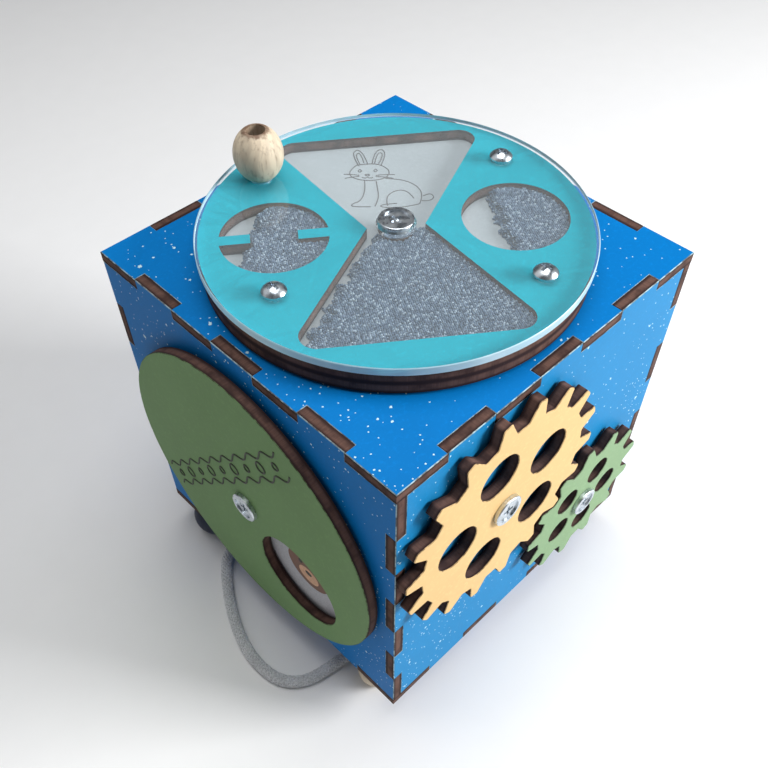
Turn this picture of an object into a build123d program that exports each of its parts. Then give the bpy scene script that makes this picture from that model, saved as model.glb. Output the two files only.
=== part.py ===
from build123d import *
import math
import os

# Baby activity cube: a finger-jointed box of thin board with turning toys on its faces.
# Millimetres. +Z is up. The origin is on the ground under the middle of the cube.
# -Y is the face with the gears, -X the face with the picture disc, +Z the face with the wheel.

# ---- box -------------------------------------------------------------------------------
EDGE = 140.0                      # outer edge of the cube
STOCK = 4.0                       # board thickness
FOOT_HEIGHT = 16.0                # the feet lift the box this far off the ground
FINGERS = 7                       # joint segments along every edge
JOINT_GAP = 0.05                  # saw gap at each finger flank
EDGE_BREAK = 0.25                 # small bevel round each outer face

HALF = EDGE / 2
INNER = EDGE - 2 * STOCK
BOTTOM_Z = FOOT_HEIGHT
TOP_Z = FOOT_HEIGHT + EDGE
MIDDLE_Z = FOOT_HEIGHT + HALF
LONG_FINGER = EDGE / FINGERS      # fingers along the top and bottom edges
SHORT_FINGER = INNER / FINGERS    # fingers along the four upright edges

# ---- pivots ----------------------------------------------------------------------------
SHANK_R = 2.5                     # pivot bolt shank
RUNNING_GAP = 0.05                # radial clearance of a turning piece on its bolt
END_PLAY = 0.1                    # axial clearance on each side of a turning piece
FIXED_GAP = 0.1                   # radial clearance of a bolt in a fixed board
WASHER_R = 6.0
WASHER_T = 1.0
HEAD_R = 6.0                      # wide flat bolt head
HEAD_T = 1.7
WHEEL_HEAD_T = 2.6
HEAD_DISH_R = 4.4
HEAD_DISH_DEPTH = 0.6
NUT_R = 4.6                       # across the corners of the lock nut
NUT_T = 5.0
BOLT_TAIL = 1.5                   # thread past the nut

# ---- bead wheel ------------------------------------------------------------------------
WHEEL_R = 64.0
COVER_R = 65.0
COVER_T = 3.0
COVER_HUB_R = 6.6                 # the pivot's head and washer stand in this hole
WINDOW_AXIS = -37.0               # direction of the round windows, degrees from +X
ROUND_R = 17.8
ROUND_OFFSET = 39.5
NECK_HALF = 9.6                   # half width of the hourglass opening at the hub
FAN_LENGTH = 52.0
FAN_HALF = 39.0
FAN_CORNER_R = 5.5
TAB_WIDTH = 4.5
TAB_REACH = 7.7                   # a tab's end stands this far from its window's middle
SPACER_R = 5.6
SPACER_T = 5.0
CLAMP_SPOTS = ((51.7, 0.0), (49.5, 177.3), (51.7, -73.6))    # radius and angle of each screw
CLAMP_SHANK_R = 1.75
CLAMP_HEAD_R = 4.0
CLAMP_HEAD_T = 2.6
HANDLE_ANGLE = 107.0
HANDLE_OFFSET = 52.0
BEAD_FILL_T = 3.2                 # depth of the loose glass beads
FILL_GAP = 0.3
# where each bed of beads ends: the direction the beads ran away from, and how far they reach it
FAN_BED = (113.5, 21.7)
ROUND_BED = (146.0, 5.4)
TABBED_BED = (126.0, 9.5)

# ---- handle bead -----------------------------------------------------------------------
BEAD_R = 8.5
BEAD_H = 17.4
BEAD_BORE_R = 1.8
BEAD_MOUTH_R = 3.3
BEAD_MOUTH_DEPTH = 6.0
HANDLE_SHANK_R = 1.75
HANDLE_HEAD_R = 2.8
HANDLE_HEAD_T = 1.8
HANDLE_WASHER_R = 4.0
HANDLE_WASHER_T = 0.5

# ---- gears -----------------------------------------------------------------------------
MODULE = 4.8
LARGE_TEETH = 18
SMALL_TEETH = 13
LARGE_X = -24.5
LARGE_Z = BOTTOM_Z + 92.5
MESH_ANGLE = -42.8                # from the large gear's centre to the small one's
LARGE_TIP_R = 46.0
LARGE_ROOT_R = 38.9
SMALL_TIP_R = 33.5
SMALL_ROOT_R = 26.8
TIP_WIDTH = 3.7
ROOT_WIDTH = 8.2
TIP_ROUND = 1.1
ROOT_ROUND = 1.2
GEAR_HOLES = 5
LARGE_HOLE_R = 8.7
LARGE_HOLE_CIRCLE_R = 23.0
LARGE_HOLE_ANGLE = 105.0
SMALL_HOLE_R = 5.8
SMALL_HOLE_CIRCLE_R = 15.2
SMALL_HOLE_ANGLE = 139.0

# ---- picture disc ----------------------------------------------------------------------
DISC_R = 63.3
DISC_Z = MIDDLE_Z - 2.0
DISC_WINDOW_R = 20.1
DISC_WINDOW_Y = -25.5
DISC_WINDOW_DROP = 22.3
PLATE_R = 56.5
PLATE_T = 0.6
PLATE_HOLE_R = 6.5

# ---- feet and cord ---------------------------------------------------------------------
PAINTED_FOOT_R = 12.0
NATURAL_FOOT_R = 8.0
PAINTED_FOOT_XY = (59.5, 53.5)
NATURAL_FOOT_XY = (61.0, 52.0)
FOOT_BORE_R = 1.8
FOOT_MOUTH_R = 3.4
FOOT_MOUTH_DEPTH = 4.0
FOOT_SHANK_R = 1.75
FOOT_HEAD_T = 2.0
FOOT_NUT_R = 3.9
FOOT_NUT_T = 3.2
CORD_R = 2.5
CORD_HOLE_R = 2.8
KNOT_R = 6.2
GROUND_Z = CORD_R                 # height of the cord's middle where it lies on the ground
CORD_END_Z = BOTTOM_Z + 2.0       # the tube ends inside the panel's hole, the knot's stem goes on
CORD_ROUTE = [
    (-50.0, 37.5, CORD_END_Z),
    (-50.0, 37.5, GROUND_Z),
    (-69.3, 37.8, GROUND_Z),
    (-78.8, 25.8, GROUND_Z),
    (-86.5, 12.3, GROUND_Z),
    (-92.2, -1.6, GROUND_Z),
    (-94.2, -15.0, GROUND_Z),
    (-92.2, -27.5, GROUND_Z),
    (-84.0, -34.8, GROUND_Z),
    (-72.8, -36.8, GROUND_Z),
    (-62.0, -38.2, GROUND_Z),
    (-46.0, -39.8, GROUND_Z),
    (-46.0, -39.8, CORD_END_Z),
]

# ---- worked-out places -----------------------------------------------------------------
MESH_DISTANCE = MODULE * (LARGE_TEETH + SMALL_TEETH) / 2
SMALL_X = LARGE_X + MESH_DISTANCE * math.cos(math.radians(MESH_ANGLE))
SMALL_Z = LARGE_Z + MESH_DISTANCE * math.sin(math.radians(MESH_ANGLE))

WHEEL_Z = TOP_Z + WASHER_T + END_PLAY
RING_Z = WHEEL_Z + STOCK
COVER_Z = RING_Z + STOCK
COVER_TOP_Z = COVER_Z + COVER_T
BEAD_Z = COVER_TOP_Z + HANDLE_WASHER_T + END_PLAY

GEAR_GAP = WASHER_T + END_PLAY
DISC_GAP = WASHER_T + 2 * END_PLAY
HANDLE_X = HANDLE_OFFSET * math.cos(math.radians(HANDLE_ANGLE))
HANDLE_Y = HANDLE_OFFSET * math.sin(math.radians(HANDLE_ANGLE))


def face_plane(side, x=0.0, z=MIDDLE_Z, out=0.0):
    """Plane on an outer side of the box, its normal outwards, its local Y up."""
    reach = HALF + out
    spots = {
        "front": ((x, -reach, z), (1, 0, 0), (0, -1, 0)),
        "back": ((-x, reach, z), (-1, 0, 0), (0, 1, 0)),
        "left": ((-reach, -x, z), (0, -1, 0), (-1, 0, 0)),
        "right": ((reach, x, z), (0, 1, 0), (1, 0, 0)),
    }
    origin, x_dir, z_dir = spots[side]
    return Plane(origin=origin, x_dir=x_dir, z_dir=z_dir)


def level(z, x=0.0, y=0.0):
    """Horizontal plane at a height, its origin over (x, y)."""
    return Plane(origin=(x, y, z))


def polar(radius, angle):
    """Flat point from a radius and an angle in degrees."""
    return (radius * math.cos(math.radians(angle)), radius * math.sin(math.radians(angle)))


def save(part, name):
    """Label a finished piece and write its file."""
    part.label = name
    export_step(part, f"parts/{name}.step")


# ---- boards ----------------------------------------------------------------------------
def finger_centres(pitch, owned):
    """Middles of the owned segments along an edge, measured from the edge's middle."""
    return [(index - (FINGERS - 1) / 2) * pitch for index in owned]


def flat_board(z, hole_spots):
    """Top or bottom board: it owns the odd fingers and the corners, and takes the sides' tabs."""
    inwards = -1 if z > MIDDLE_Z else 1
    slots = finger_centres(LONG_FINGER, (1, 3, 5))
    reach = HALF - STOCK / 2
    with BuildPart() as board:
        with BuildSketch(level(z)):
            Rectangle(EDGE, EDGE)
            with Locations([(s, t) for s in slots for t in (-reach, reach)]):
                Rectangle(LONG_FINGER, STOCK, mode=Mode.SUBTRACT)
            with Locations([(s, t) for s in (-reach, reach) for t in slots]):
                Rectangle(STOCK, LONG_FINGER, mode=Mode.SUBTRACT)
            for x, y, radius in hole_spots:
                with Locations((x, y)):
                    Circle(radius, mode=Mode.SUBTRACT)
        extrude(amount=inwards * STOCK)
        outer = board.faces().sort_by(Axis.Z)[-1 if inwards < 0 else 0]
        chamfer(outer.outer_wire().edges(), EDGE_BREAK)
    return board.part


def side_board(side, owned, hole_spots):
    """Upright board: tabs into the top and bottom boards and the owned upright fingers."""
    tabs = finger_centres(LONG_FINGER, (1, 3, 5))
    uprights = finger_centres(SHORT_FINGER, owned)
    reach = HALF - STOCK / 2
    with BuildPart() as board:
        with BuildSketch(face_plane(side)):
            Rectangle(INNER, INNER)
            with Locations([(s, t) for s in tabs for t in (-reach, reach)]):
                Rectangle(LONG_FINGER - 2 * JOINT_GAP, STOCK)
            for t in uprights:
                top = min(t + SHORT_FINGER / 2 - JOINT_GAP, INNER / 2)
                low = max(t - SHORT_FINGER / 2 + JOINT_GAP, -INNER / 2)
                with Locations([(-reach, (top + low) / 2), (reach, (top + low) / 2)]):
                    Rectangle(STOCK, top - low)
            for s, t, radius in hole_spots:
                with Locations((s, t)):
                    Circle(radius, mode=Mode.SUBTRACT)
        extrude(amount=-STOCK)
        outer = board.faces().sort_by(Axis(face_plane(side).origin, face_plane(side).z_dir))[-1]
        chamfer(outer.outer_wire().edges(), EDGE_BREAK)
    return board.part


# ---- fasteners -------------------------------------------------------------------------
def pivot_bolt(plane, length, head_t=HEAD_T):
    """Wide flat-headed bolt: the plane lies under its head, normal along the head."""
    slot, arm, depth = 4.4, 1.1, 0.7
    with BuildPart() as bolt:
        with BuildSketch(plane):
            Circle(HEAD_R)
        extrude(amount=head_t)
        rim = bolt.faces().sort_by(Axis(plane.origin, plane.z_dir))[-1]
        fillet(rim.edges(), 0.5)
        with BuildSketch(plane.offset(head_t)):
            Circle(HEAD_DISH_R)
        extrude(amount=-HEAD_DISH_DEPTH, mode=Mode.SUBTRACT)
        with BuildSketch(plane.offset(head_t - HEAD_DISH_DEPTH)):
            Rectangle(slot, arm)
            Rectangle(arm, slot)
        extrude(amount=-depth, mode=Mode.SUBTRACT)
        with BuildSketch(plane):
            Circle(SHANK_R)
        extrude(amount=-length)
        tip = bolt.faces().sort_by(Axis(plane.origin, plane.z_dir))[0]
        chamfer(tip.edges(), 0.4)
    return bolt.part


def ring_plate(plane, outer_r, inner_r, thickness):
    """Flat washer or spacer standing on a plane."""
    with BuildPart() as plate:
        with BuildSketch(plane):
            Circle(outer_r)
            Circle(inner_r, mode=Mode.SUBTRACT)
        extrude(amount=thickness)
    return plate.part


def lock_nut(plane, radius=NUT_R, height=NUT_T, bore=SHANK_R + 0.05):
    """Hexagon nut with a rounded locking collar, standing on a plane."""
    hexagon_t = height * 0.72
    with BuildPart() as nut:
        with BuildSketch(plane):
            RegularPolygon(radius, 6)
        extrude(amount=hexagon_t)
        with BuildSketch(plane.offset(hexagon_t)):
            Circle(radius * 0.8)
        extrude(amount=height - hexagon_t)
        crown = nut.faces().sort_by(Axis(plane.origin, plane.z_dir))[-1]
        chamfer(crown.edges(), height * 0.12)
        with BuildSketch(plane):
            Circle(bore)
        extrude(amount=height, mode=Mode.SUBTRACT)
    return nut.part


def dome_screw(x, y, seat_z, head_r, head_t, shank_r, length):
    """Dome-headed cross-slot screw pointing down from a seat height."""
    slot, arm = head_r * 1.05, head_r * 0.26
    with BuildPart() as screw:
        with BuildSketch(Plane(origin=(x, y, 0), x_dir=(1, 0, 0), z_dir=(0, -1, 0))):
            with BuildLine():
                dome = TangentArc(
                    (0, seat_z + head_t), (head_r, seat_z + head_t * 0.22), tangent=(1, 0)
                )
                Polyline(
                    dome @ 1,
                    (head_r, seat_z),
                    (shank_r, seat_z),
                    (shank_r, seat_z - length + 1.2),
                    (shank_r * 0.4, seat_z - length),
                    (0, seat_z - length),
                    dome @ 0,
                )
            make_face()
        revolve(axis=Axis((x, y, 0), (0, 0, 1)))
        with BuildSketch(level(seat_z + head_t, x, y)):
            Rectangle(slot, arm)
            Rectangle(arm, slot)
        extrude(amount=-head_t * 0.55, mode=Mode.SUBTRACT)
    return screw.part


# ---- bead wheel ------------------------------------------------------------------------
def hourglass():
    """Corner points of the hourglass opening, along local X, waist at the hub."""
    length, half, neck = FAN_LENGTH, FAN_HALF, NECK_HALF
    return [(length, half), (0, neck), (-length, half), (-length, -half), (0, -neck), (length, -half)]


def screw_spots():
    """Places of the clamp screws and of the handle's screw on the wheel."""
    spots = [polar(*spot) for spot in CLAMP_SPOTS]
    return spots, (HANDLE_X, HANDLE_Y)


def wheel_layer(z, radius, thickness, pivot_hole_r, windows=False):
    """One round layer of the wheel, drilled for the pivot, the clamp screws and the handle."""
    clamps, handle = screw_spots()
    with BuildPart() as layer:
        with BuildSketch(level(z)):
            Circle(radius)
            with Locations(*clamps):
                Circle(CLAMP_SHANK_R + 0.05, mode=Mode.SUBTRACT)
            with Locations(handle):
                Circle(HANDLE_SHANK_R + 0.05, mode=Mode.SUBTRACT)
            if not windows:
                Circle(pivot_hole_r, mode=Mode.SUBTRACT)
        extrude(amount=thickness)
        if windows:
            with BuildSketch(level(z).rotated((0, 0, WINDOW_AXIS + 90))) as fan:
                Polygon(*hourglass(), align=None)
                fillet(fan.vertices().filter_by(is_fan_corner), FAN_CORNER_R)
            extrude(amount=thickness, mode=Mode.SUBTRACT)
            with BuildSketch(level(z).rotated((0, 0, WINDOW_AXIS))):
                round_windows()
            extrude(amount=thickness, mode=Mode.SUBTRACT)
    return layer.part


def is_fan_corner(vertex):
    """True for the hourglass's outer corners, at either end of local X."""
    return abs(abs(vertex.X) - FAN_LENGTH) < 0.01


def round_windows():
    """Two round windows on local X, the one at -X with a tab reaching in from either side."""
    tab_length = ROUND_R + 1 - TAB_REACH
    tab_middle = TAB_REACH + tab_length / 2
    with Locations((ROUND_OFFSET, 0), (-ROUND_OFFSET, 0)):
        Circle(ROUND_R)
    with Locations((-ROUND_OFFSET - tab_middle, 0), (-ROUND_OFFSET + tab_middle, 0)):
        Rectangle(tab_length, TAB_WIDTH, mode=Mode.SUBTRACT)


def bead_bed(outline, middle, direction, reach):
    """Loose glass beads in one window: its outline, less the side that they ran away from."""
    slope = Plane(origin=(middle[0], middle[1], RING_Z)).rotated((0, 0, direction))
    with BuildPart() as bed:
        with BuildSketch(level(RING_Z)):
            add(outline)
            Circle(SPACER_R + FILL_GAP, mode=Mode.SUBTRACT)
        extrude(amount=BEAD_FILL_T)
        with BuildSketch(slope):
            with Locations((reach + EDGE / 2, 0)):
                Rectangle(EDGE, EDGE)
        extrude(amount=BEAD_FILL_T, mode=Mode.SUBTRACT)
    return bed.part


def fan_outline():
    """Bead bed's outline in the fan-shaped window, a little inside the walls."""
    half_angle = math.atan2(FAN_HALF - NECK_HALF, FAN_LENGTH)
    inset = FILL_GAP / math.cos(half_angle)
    end = FAN_LENGTH - FILL_GAP
    end_half = NECK_HALF + end * math.tan(half_angle) - inset
    start = SPACER_R * 0.6
    start_half = NECK_HALF + start * math.tan(half_angle) - inset
    with BuildSketch(Plane.XY.rotated((0, 0, WINDOW_AXIS - 90))) as outline:
        Polygon((end, end_half), (start, start_half), (start, -start_half), (end, -end_half), align=None)
        fillet(outline.vertices().filter_by(lambda v: v.X > end - 0.01), FAN_CORNER_R)
    return outline.sketch


def round_outline(tabs):
    """Bead bed's outline in a round window, on the +X side or, with tabs, on the -X side."""
    side = -1 if tabs else 1
    tab_length = ROUND_R + 1 - TAB_REACH + FILL_GAP
    tab_middle = TAB_REACH - FILL_GAP + tab_length / 2
    with BuildSketch(Plane.XY.rotated((0, 0, WINDOW_AXIS))) as outline:
        with Locations((side * ROUND_OFFSET, 0)):
            Circle(ROUND_R - FILL_GAP)
        if tabs:
            with Locations((-ROUND_OFFSET - tab_middle, 0), (-ROUND_OFFSET + tab_middle, 0)):
                Rectangle(tab_length, TAB_WIDTH + 2 * FILL_GAP, mode=Mode.SUBTRACT)
    return outline.sketch


# ---- turned wooden beads ---------------------------------------------------------------
def turned_bead(x, y, low_z, height, radius, bore_r, mouth_r, mouth_depth, mouth_up):
    """Barrel bead with flat ends, a bore, and a wide mouth at one end for the screw's head."""
    end_r = mouth_r + 0.6
    high_z = low_z + height
    middle_z = low_z + height / 2
    with BuildPart() as bead:
        with BuildSketch(Plane(origin=(x, y, 0), x_dir=(1, 0, 0), z_dir=(0, -1, 0))):
            with BuildLine():
                barrel = Spline(
                    (end_r, low_z),
                    (radius, middle_z),
                    (end_r, high_z),
                    tangents=[(1, 0.3), (-1, 0.3)],
                    tangent_scalars=[1.3, 1.3],
                )
                Polyline(barrel @ 1, (0, high_z), (0, low_z), barrel @ 0)
            make_face()
        revolve(axis=Axis((x, y, 0), (0, 0, 1)))
        with BuildSketch(level(low_z, x, y)):
            Circle(bore_r)
        extrude(amount=height, mode=Mode.SUBTRACT)
        with BuildSketch(level(high_z - mouth_depth if mouth_up else low_z, x, y)):
            Circle(mouth_r)
        extrude(amount=mouth_depth, mode=Mode.SUBTRACT)
    return bead.part


# ---- gears -----------------------------------------------------------------------------
def gear(x, z, teeth, tip_r, root_r, tooth_angle, hole_r, hole_circle_r, hole_angle):
    """Flat wooden gear on the front: straight-flanked rounded teeth and a ring of finger holes."""
    foot_r = root_r - 1.0
    tip_half = TIP_WIDTH / 2
    spread = (ROOT_WIDTH / 2 - tip_half) / (tip_r - root_r)
    foot_half = ROOT_WIDTH / 2 + spread * (root_r - foot_r)
    with BuildPart() as wheel:
        with BuildSketch(face_plane("front", x, z, GEAR_GAP)) as outline:
            Circle(root_r)
            with PolarLocations(0, teeth, start_angle=tooth_angle):
                Polygon(
                    (foot_r, -foot_half),
                    (tip_r, -tip_half),
                    (tip_r, tip_half),
                    (foot_r, foot_half),
                    align=None,
                )
            tips = outline.vertices().filter_by(lambda v: math.hypot(v.X, v.Y) > tip_r - 0.5)
            fillet(tips, TIP_ROUND)
            roots = outline.vertices().filter_by(lambda v: math.hypot(v.X, v.Y) < root_r + 0.5)
            fillet(roots.filter_by(lambda v: v.X < root_r - 0.001), ROOT_ROUND)
            with PolarLocations(hole_circle_r, GEAR_HOLES, start_angle=hole_angle):
                Circle(hole_r, mode=Mode.SUBTRACT)
            Circle(SHANK_R + RUNNING_GAP, mode=Mode.SUBTRACT)
        extrude(amount=STOCK)
        front = wheel.faces().sort_by(Axis.Y)[0]
        chamfer(front.edges(), EDGE_BREAK)
    return wheel.part


# ---- cord ------------------------------------------------------------------------------
def cord_radii(route):
    """Bend radius at every inner point: as large as its two runs allow."""
    radii = []
    for before, here, after in zip(route, route[1:], route[2:]):
        arriving = Vector(*here) - Vector(*before)
        leaving = Vector(*after) - Vector(*here)
        half_turn = math.radians(arriving.get_angle(leaving)) / 2
        shorter = min(arriving.length, leaving.length)
        radii.append(0.45 * shorter / math.tan(half_turn))
    return radii


def cord_tube(route):
    """Plain tube along the cord's route."""
    radii = cord_radii(route)
    with BuildPart() as tube:
        with BuildLine():
            middle_line = FilletPolyline(*route, radius=radii)
        with BuildSketch(Plane(origin=route[0], z_dir=middle_line % 0)):
            Circle(CORD_R)
        sweep(path=middle_line)
    return tube.part, middle_line.length, radii


def stopper_knot(x, y):
    """Knotted end of the cord standing on the inside of the bottom board."""
    floor_z = BOTTOM_Z + STOCK
    lump_z = floor_z + KNOT_R * 0.85
    with BuildPart() as knot:
        with BuildSketch(level(CORD_END_Z, x, y)):
            Circle(CORD_R)
        extrude(amount=lump_z - CORD_END_Z)
        with Locations((x, y, lump_z)):
            Sphere(KNOT_R)
        split(bisect_by=level(CORD_END_Z), keep=Keep.TOP)
        with BuildSketch(level(CORD_END_Z, x, y)):
            Circle(KNOT_R + 1)
            Circle(CORD_R, mode=Mode.SUBTRACT)
        extrude(amount=floor_z - CORD_END_Z, mode=Mode.SUBTRACT)
    return knot.part


# ---- assembly --------------------------------------------------------------------------
def foot_spots(spot):
    """Left and right places of a pair of feet; a negative y puts them at the front."""
    return [(-spot[0], spot[1]), (spot[0], spot[1])]


def foot_screw(x, y, length):
    """Pan-headed screw up through a foot, its head inside the bead's mouth."""
    seat_z = FOOT_MOUTH_DEPTH
    head_r = FOOT_MOUTH_R - 0.5
    with BuildPart() as screw:
        with BuildSketch(level(seat_z - FOOT_HEAD_T, x, y)):
            Circle(head_r)
        extrude(amount=FOOT_HEAD_T)
        chamfer(screw.edges().sort_by(Axis.Z)[0], 0.5)
        with BuildSketch(level(seat_z - FOOT_HEAD_T, x, y)):
            Rectangle(head_r * 1.2, 0.8)
            Rectangle(0.8, head_r * 1.2)
        extrude(amount=FOOT_HEAD_T * 0.6, mode=Mode.SUBTRACT)
        with BuildSketch(level(seat_z, x, y)):
            Circle(FOOT_SHANK_R)
        extrude(amount=length)
    return screw.part


def group(parts):
    """Several separate solids as one piece."""
    return Compound(children=list(parts))


def main():
    os.makedirs("parts", exist_ok=True)
    bolt_r = SHANK_R + FIXED_GAP
    natural_spots = foot_spots((NATURAL_FOOT_XY[0], -NATURAL_FOOT_XY[1]))
    painted_spots = foot_spots(PAINTED_FOOT_XY)
    all_feet = natural_spots + painted_spots
    cord_spots = [CORD_ROUTE[0][:2], CORD_ROUTE[-1][:2]]

    # box
    foot_holes = [(x, y, FOOT_SHANK_R + 0.1) for x, y in all_feet]
    cord_holes = [(x, y, CORD_HOLE_R) for x, y in cord_spots]
    odd, even = (0, 2, 4, 6), (1, 3, 5)
    gear_holes = [(LARGE_X, LARGE_Z - MIDDLE_Z, bolt_r), (SMALL_X, SMALL_Z - MIDDLE_Z, bolt_r)]
    save(flat_board(TOP_Z, [(0, 0, bolt_r)]), "top_panel")
    save(flat_board(BOTTOM_Z, foot_holes + cord_holes), "bottom_panel")
    save(side_board("front", even, gear_holes), "gear_panel")
    save(side_board("back", even, []), "rear_left_panel")
    save(side_board("left", odd, [(0, DISC_Z - MIDDLE_Z, bolt_r)]), "picture_panel")
    save(side_board("right", odd, []), "rear_right_panel")

    # wheel
    running_r = SHANK_R + RUNNING_GAP
    save(wheel_layer(WHEEL_Z, WHEEL_R, STOCK, running_r), "wheel_base")
    save(wheel_layer(RING_Z, WHEEL_R, STOCK, running_r, windows=True), "window_ring")
    save(wheel_layer(COVER_Z, COVER_R, COVER_T, COVER_HUB_R), "clear_cover")
    save(ring_plate(level(RING_Z), SPACER_R, running_r, SPACER_T), "hub_spacer")
    fan_middle = polar(FAN_LENGTH * 0.6, WINDOW_AXIS - 90)
    round_middle = polar(ROUND_OFFSET, WINDOW_AXIS)
    tabbed_middle = polar(ROUND_OFFSET, WINDOW_AXIS + 180)
    save(bead_bed(fan_outline(), fan_middle, *FAN_BED), "sector_beads")
    save(bead_bed(round_outline(False), round_middle, *ROUND_BED), "round_window_beads")
    save(bead_bed(round_outline(True), tabbed_middle, *TABBED_BED), "tabbed_window_beads")
    clamps, handle = screw_spots()
    clamp_length = COVER_TOP_Z - WHEEL_Z - 0.5
    clamp_screws = [
        dome_screw(x, y, COVER_TOP_Z, CLAMP_HEAD_R, CLAMP_HEAD_T, CLAMP_SHANK_R, clamp_length)
        for x, y in clamps
    ]
    save(group(clamp_screws), "clamp_screws")
    handle_seat = BEAD_Z + BEAD_H - BEAD_MOUTH_DEPTH + END_PLAY
    handle_length = handle_seat - WHEEL_Z - 0.5
    handle_screw = dome_screw(
        *handle, handle_seat, HANDLE_HEAD_R, HANDLE_HEAD_T, HANDLE_SHANK_R, handle_length
    )
    save(handle_screw, "handle_screw")
    handle_washer = ring_plate(
        level(COVER_TOP_Z, *handle), HANDLE_WASHER_R, HANDLE_SHANK_R + 0.05, HANDLE_WASHER_T
    )
    save(handle_washer, "handle_washer")
    handle_bead = turned_bead(
        *handle, BEAD_Z, BEAD_H, BEAD_R, BEAD_BORE_R, BEAD_MOUTH_R, BEAD_MOUTH_DEPTH, True
    )
    save(handle_bead, "handle_bead")

    # wheel pivot
    washer_bore = running_r
    top_washer_z = RING_Z + SPACER_T + END_PLAY
    save(ring_plate(level(TOP_Z), WASHER_R, washer_bore, WASHER_T), "wheel_under_washer")
    save(ring_plate(level(top_washer_z), WASHER_R, washer_bore, WASHER_T), "wheel_top_washer")
    wheel_seat = level(top_washer_z + WASHER_T)
    inside = STOCK + WASHER_T + NUT_T + BOLT_TAIL
    save(pivot_bolt(wheel_seat, wheel_seat.origin.Z - TOP_Z + inside, WHEEL_HEAD_T), "wheel_bolt")

    # gears
    large = gear(
        LARGE_X, LARGE_Z, LARGE_TEETH, LARGE_TIP_R, LARGE_ROOT_R, MESH_ANGLE,
        LARGE_HOLE_R, LARGE_HOLE_CIRCLE_R, LARGE_HOLE_ANGLE,
    )
    mesh_space = MESH_ANGLE + 180 + 180 / SMALL_TEETH
    small = gear(
        SMALL_X, SMALL_Z, SMALL_TEETH, SMALL_TIP_R, SMALL_ROOT_R, mesh_space,
        SMALL_HOLE_R, SMALL_HOLE_CIRCLE_R, SMALL_HOLE_ANGLE,
    )
    save(large, "large_gear")
    save(small, "small_gear")
    gear_centres = [(LARGE_X, LARGE_Z), (SMALL_X, SMALL_Z)]
    gear_washers = [
        ring_plate(face_plane("front", x, z), WASHER_R, washer_bore, WASHER_T) for x, z in gear_centres
    ]
    save(group(gear_washers), "gear_washers")
    gear_grip = GEAR_GAP + STOCK + END_PLAY
    for (x, z), name in zip(gear_centres, ("large_gear_bolt", "small_gear_bolt")):
        save(pivot_bolt(face_plane("front", x, z, gear_grip), gear_grip + inside), name)

    # picture disc
    with BuildPart() as picture_disc:
        with BuildSketch(face_plane("left", 0, DISC_Z, DISC_GAP)):
            Circle(DISC_R)
            with Locations((-DISC_WINDOW_Y, -DISC_WINDOW_DROP)):
                Circle(DISC_WINDOW_R, mode=Mode.SUBTRACT)
            Circle(SHANK_R + RUNNING_GAP, mode=Mode.SUBTRACT)
        extrude(amount=STOCK)
        chamfer(picture_disc.faces().sort_by(Axis.X)[0].edges(), EDGE_BREAK)
    save(picture_disc.part, "picture_disc")
    save(ring_plate(face_plane("left", 0, DISC_Z), PLATE_R, PLATE_HOLE_R, PLATE_T), "picture_plate")
    disc_washer_t = DISC_GAP - END_PLAY
    disc_washer = ring_plate(face_plane("left", 0, DISC_Z), WASHER_R, washer_bore, disc_washer_t)
    save(disc_washer, "disc_washer")
    disc_grip = DISC_GAP + STOCK + END_PLAY
    save(pivot_bolt(face_plane("left", 0, DISC_Z, disc_grip), disc_grip + inside), "disc_bolt")

    # washers and lock nuts inside the box
    inner_planes = [
        Plane(origin=(0, 0, TOP_Z - STOCK), z_dir=(0, 0, -1)),
        Plane(origin=(LARGE_X, STOCK - HALF, LARGE_Z), z_dir=(0, 1, 0)),
        Plane(origin=(SMALL_X, STOCK - HALF, SMALL_Z), z_dir=(0, 1, 0)),
        Plane(origin=(STOCK - HALF, 0, DISC_Z), z_dir=(1, 0, 0)),
    ]
    inner_washers = [ring_plate(plane, WASHER_R, washer_bore, WASHER_T) for plane in inner_planes]
    save(group(inner_washers), "inner_washers")
    save(group(lock_nut(plane.offset(WASHER_T)) for plane in inner_planes), "lock_nuts")

    # feet
    for spots, radius, name in (
        (natural_spots, NATURAL_FOOT_R, "natural_feet"),
        (painted_spots, PAINTED_FOOT_R, "painted_feet"),
    ):
        feet = [
            turned_bead(
                x, y, 0, FOOT_HEIGHT, radius, FOOT_BORE_R, FOOT_MOUTH_R, FOOT_MOUTH_DEPTH, False
            )
            for x, y in spots
        ]
        save(group(feet), name)
    nut_plane_z = BOTTOM_Z + STOCK
    foot_nuts = [
        lock_nut(level(nut_plane_z, x, y), FOOT_NUT_R, FOOT_NUT_T, FOOT_SHANK_R + 0.05)
        for x, y in all_feet
    ]
    save(group(foot_nuts), "foot_nuts")
    foot_length = FOOT_HEIGHT - FOOT_MOUTH_DEPTH + STOCK + FOOT_NUT_T + 1.0
    save(group(foot_screw(x, y, foot_length) for x, y in all_feet), "foot_screws")

    # cord
    tube, length, radii = cord_tube(CORD_ROUTE)
    print("cord length", round(length, 1), "radii", [round(radius, 1) for radius in radii])
    print("cord volume over section times length", round(tube.volume / (math.pi * CORD_R**2 * length), 4))
    save(tube, "pull_cord")
    save(group(stopper_knot(x, y) for x, y in cord_spots), "cord_knots")


if __name__ == "__main__":
    main()
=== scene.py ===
import math

import bmesh
import bpy
from mathutils import Matrix, Vector, noise


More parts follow.
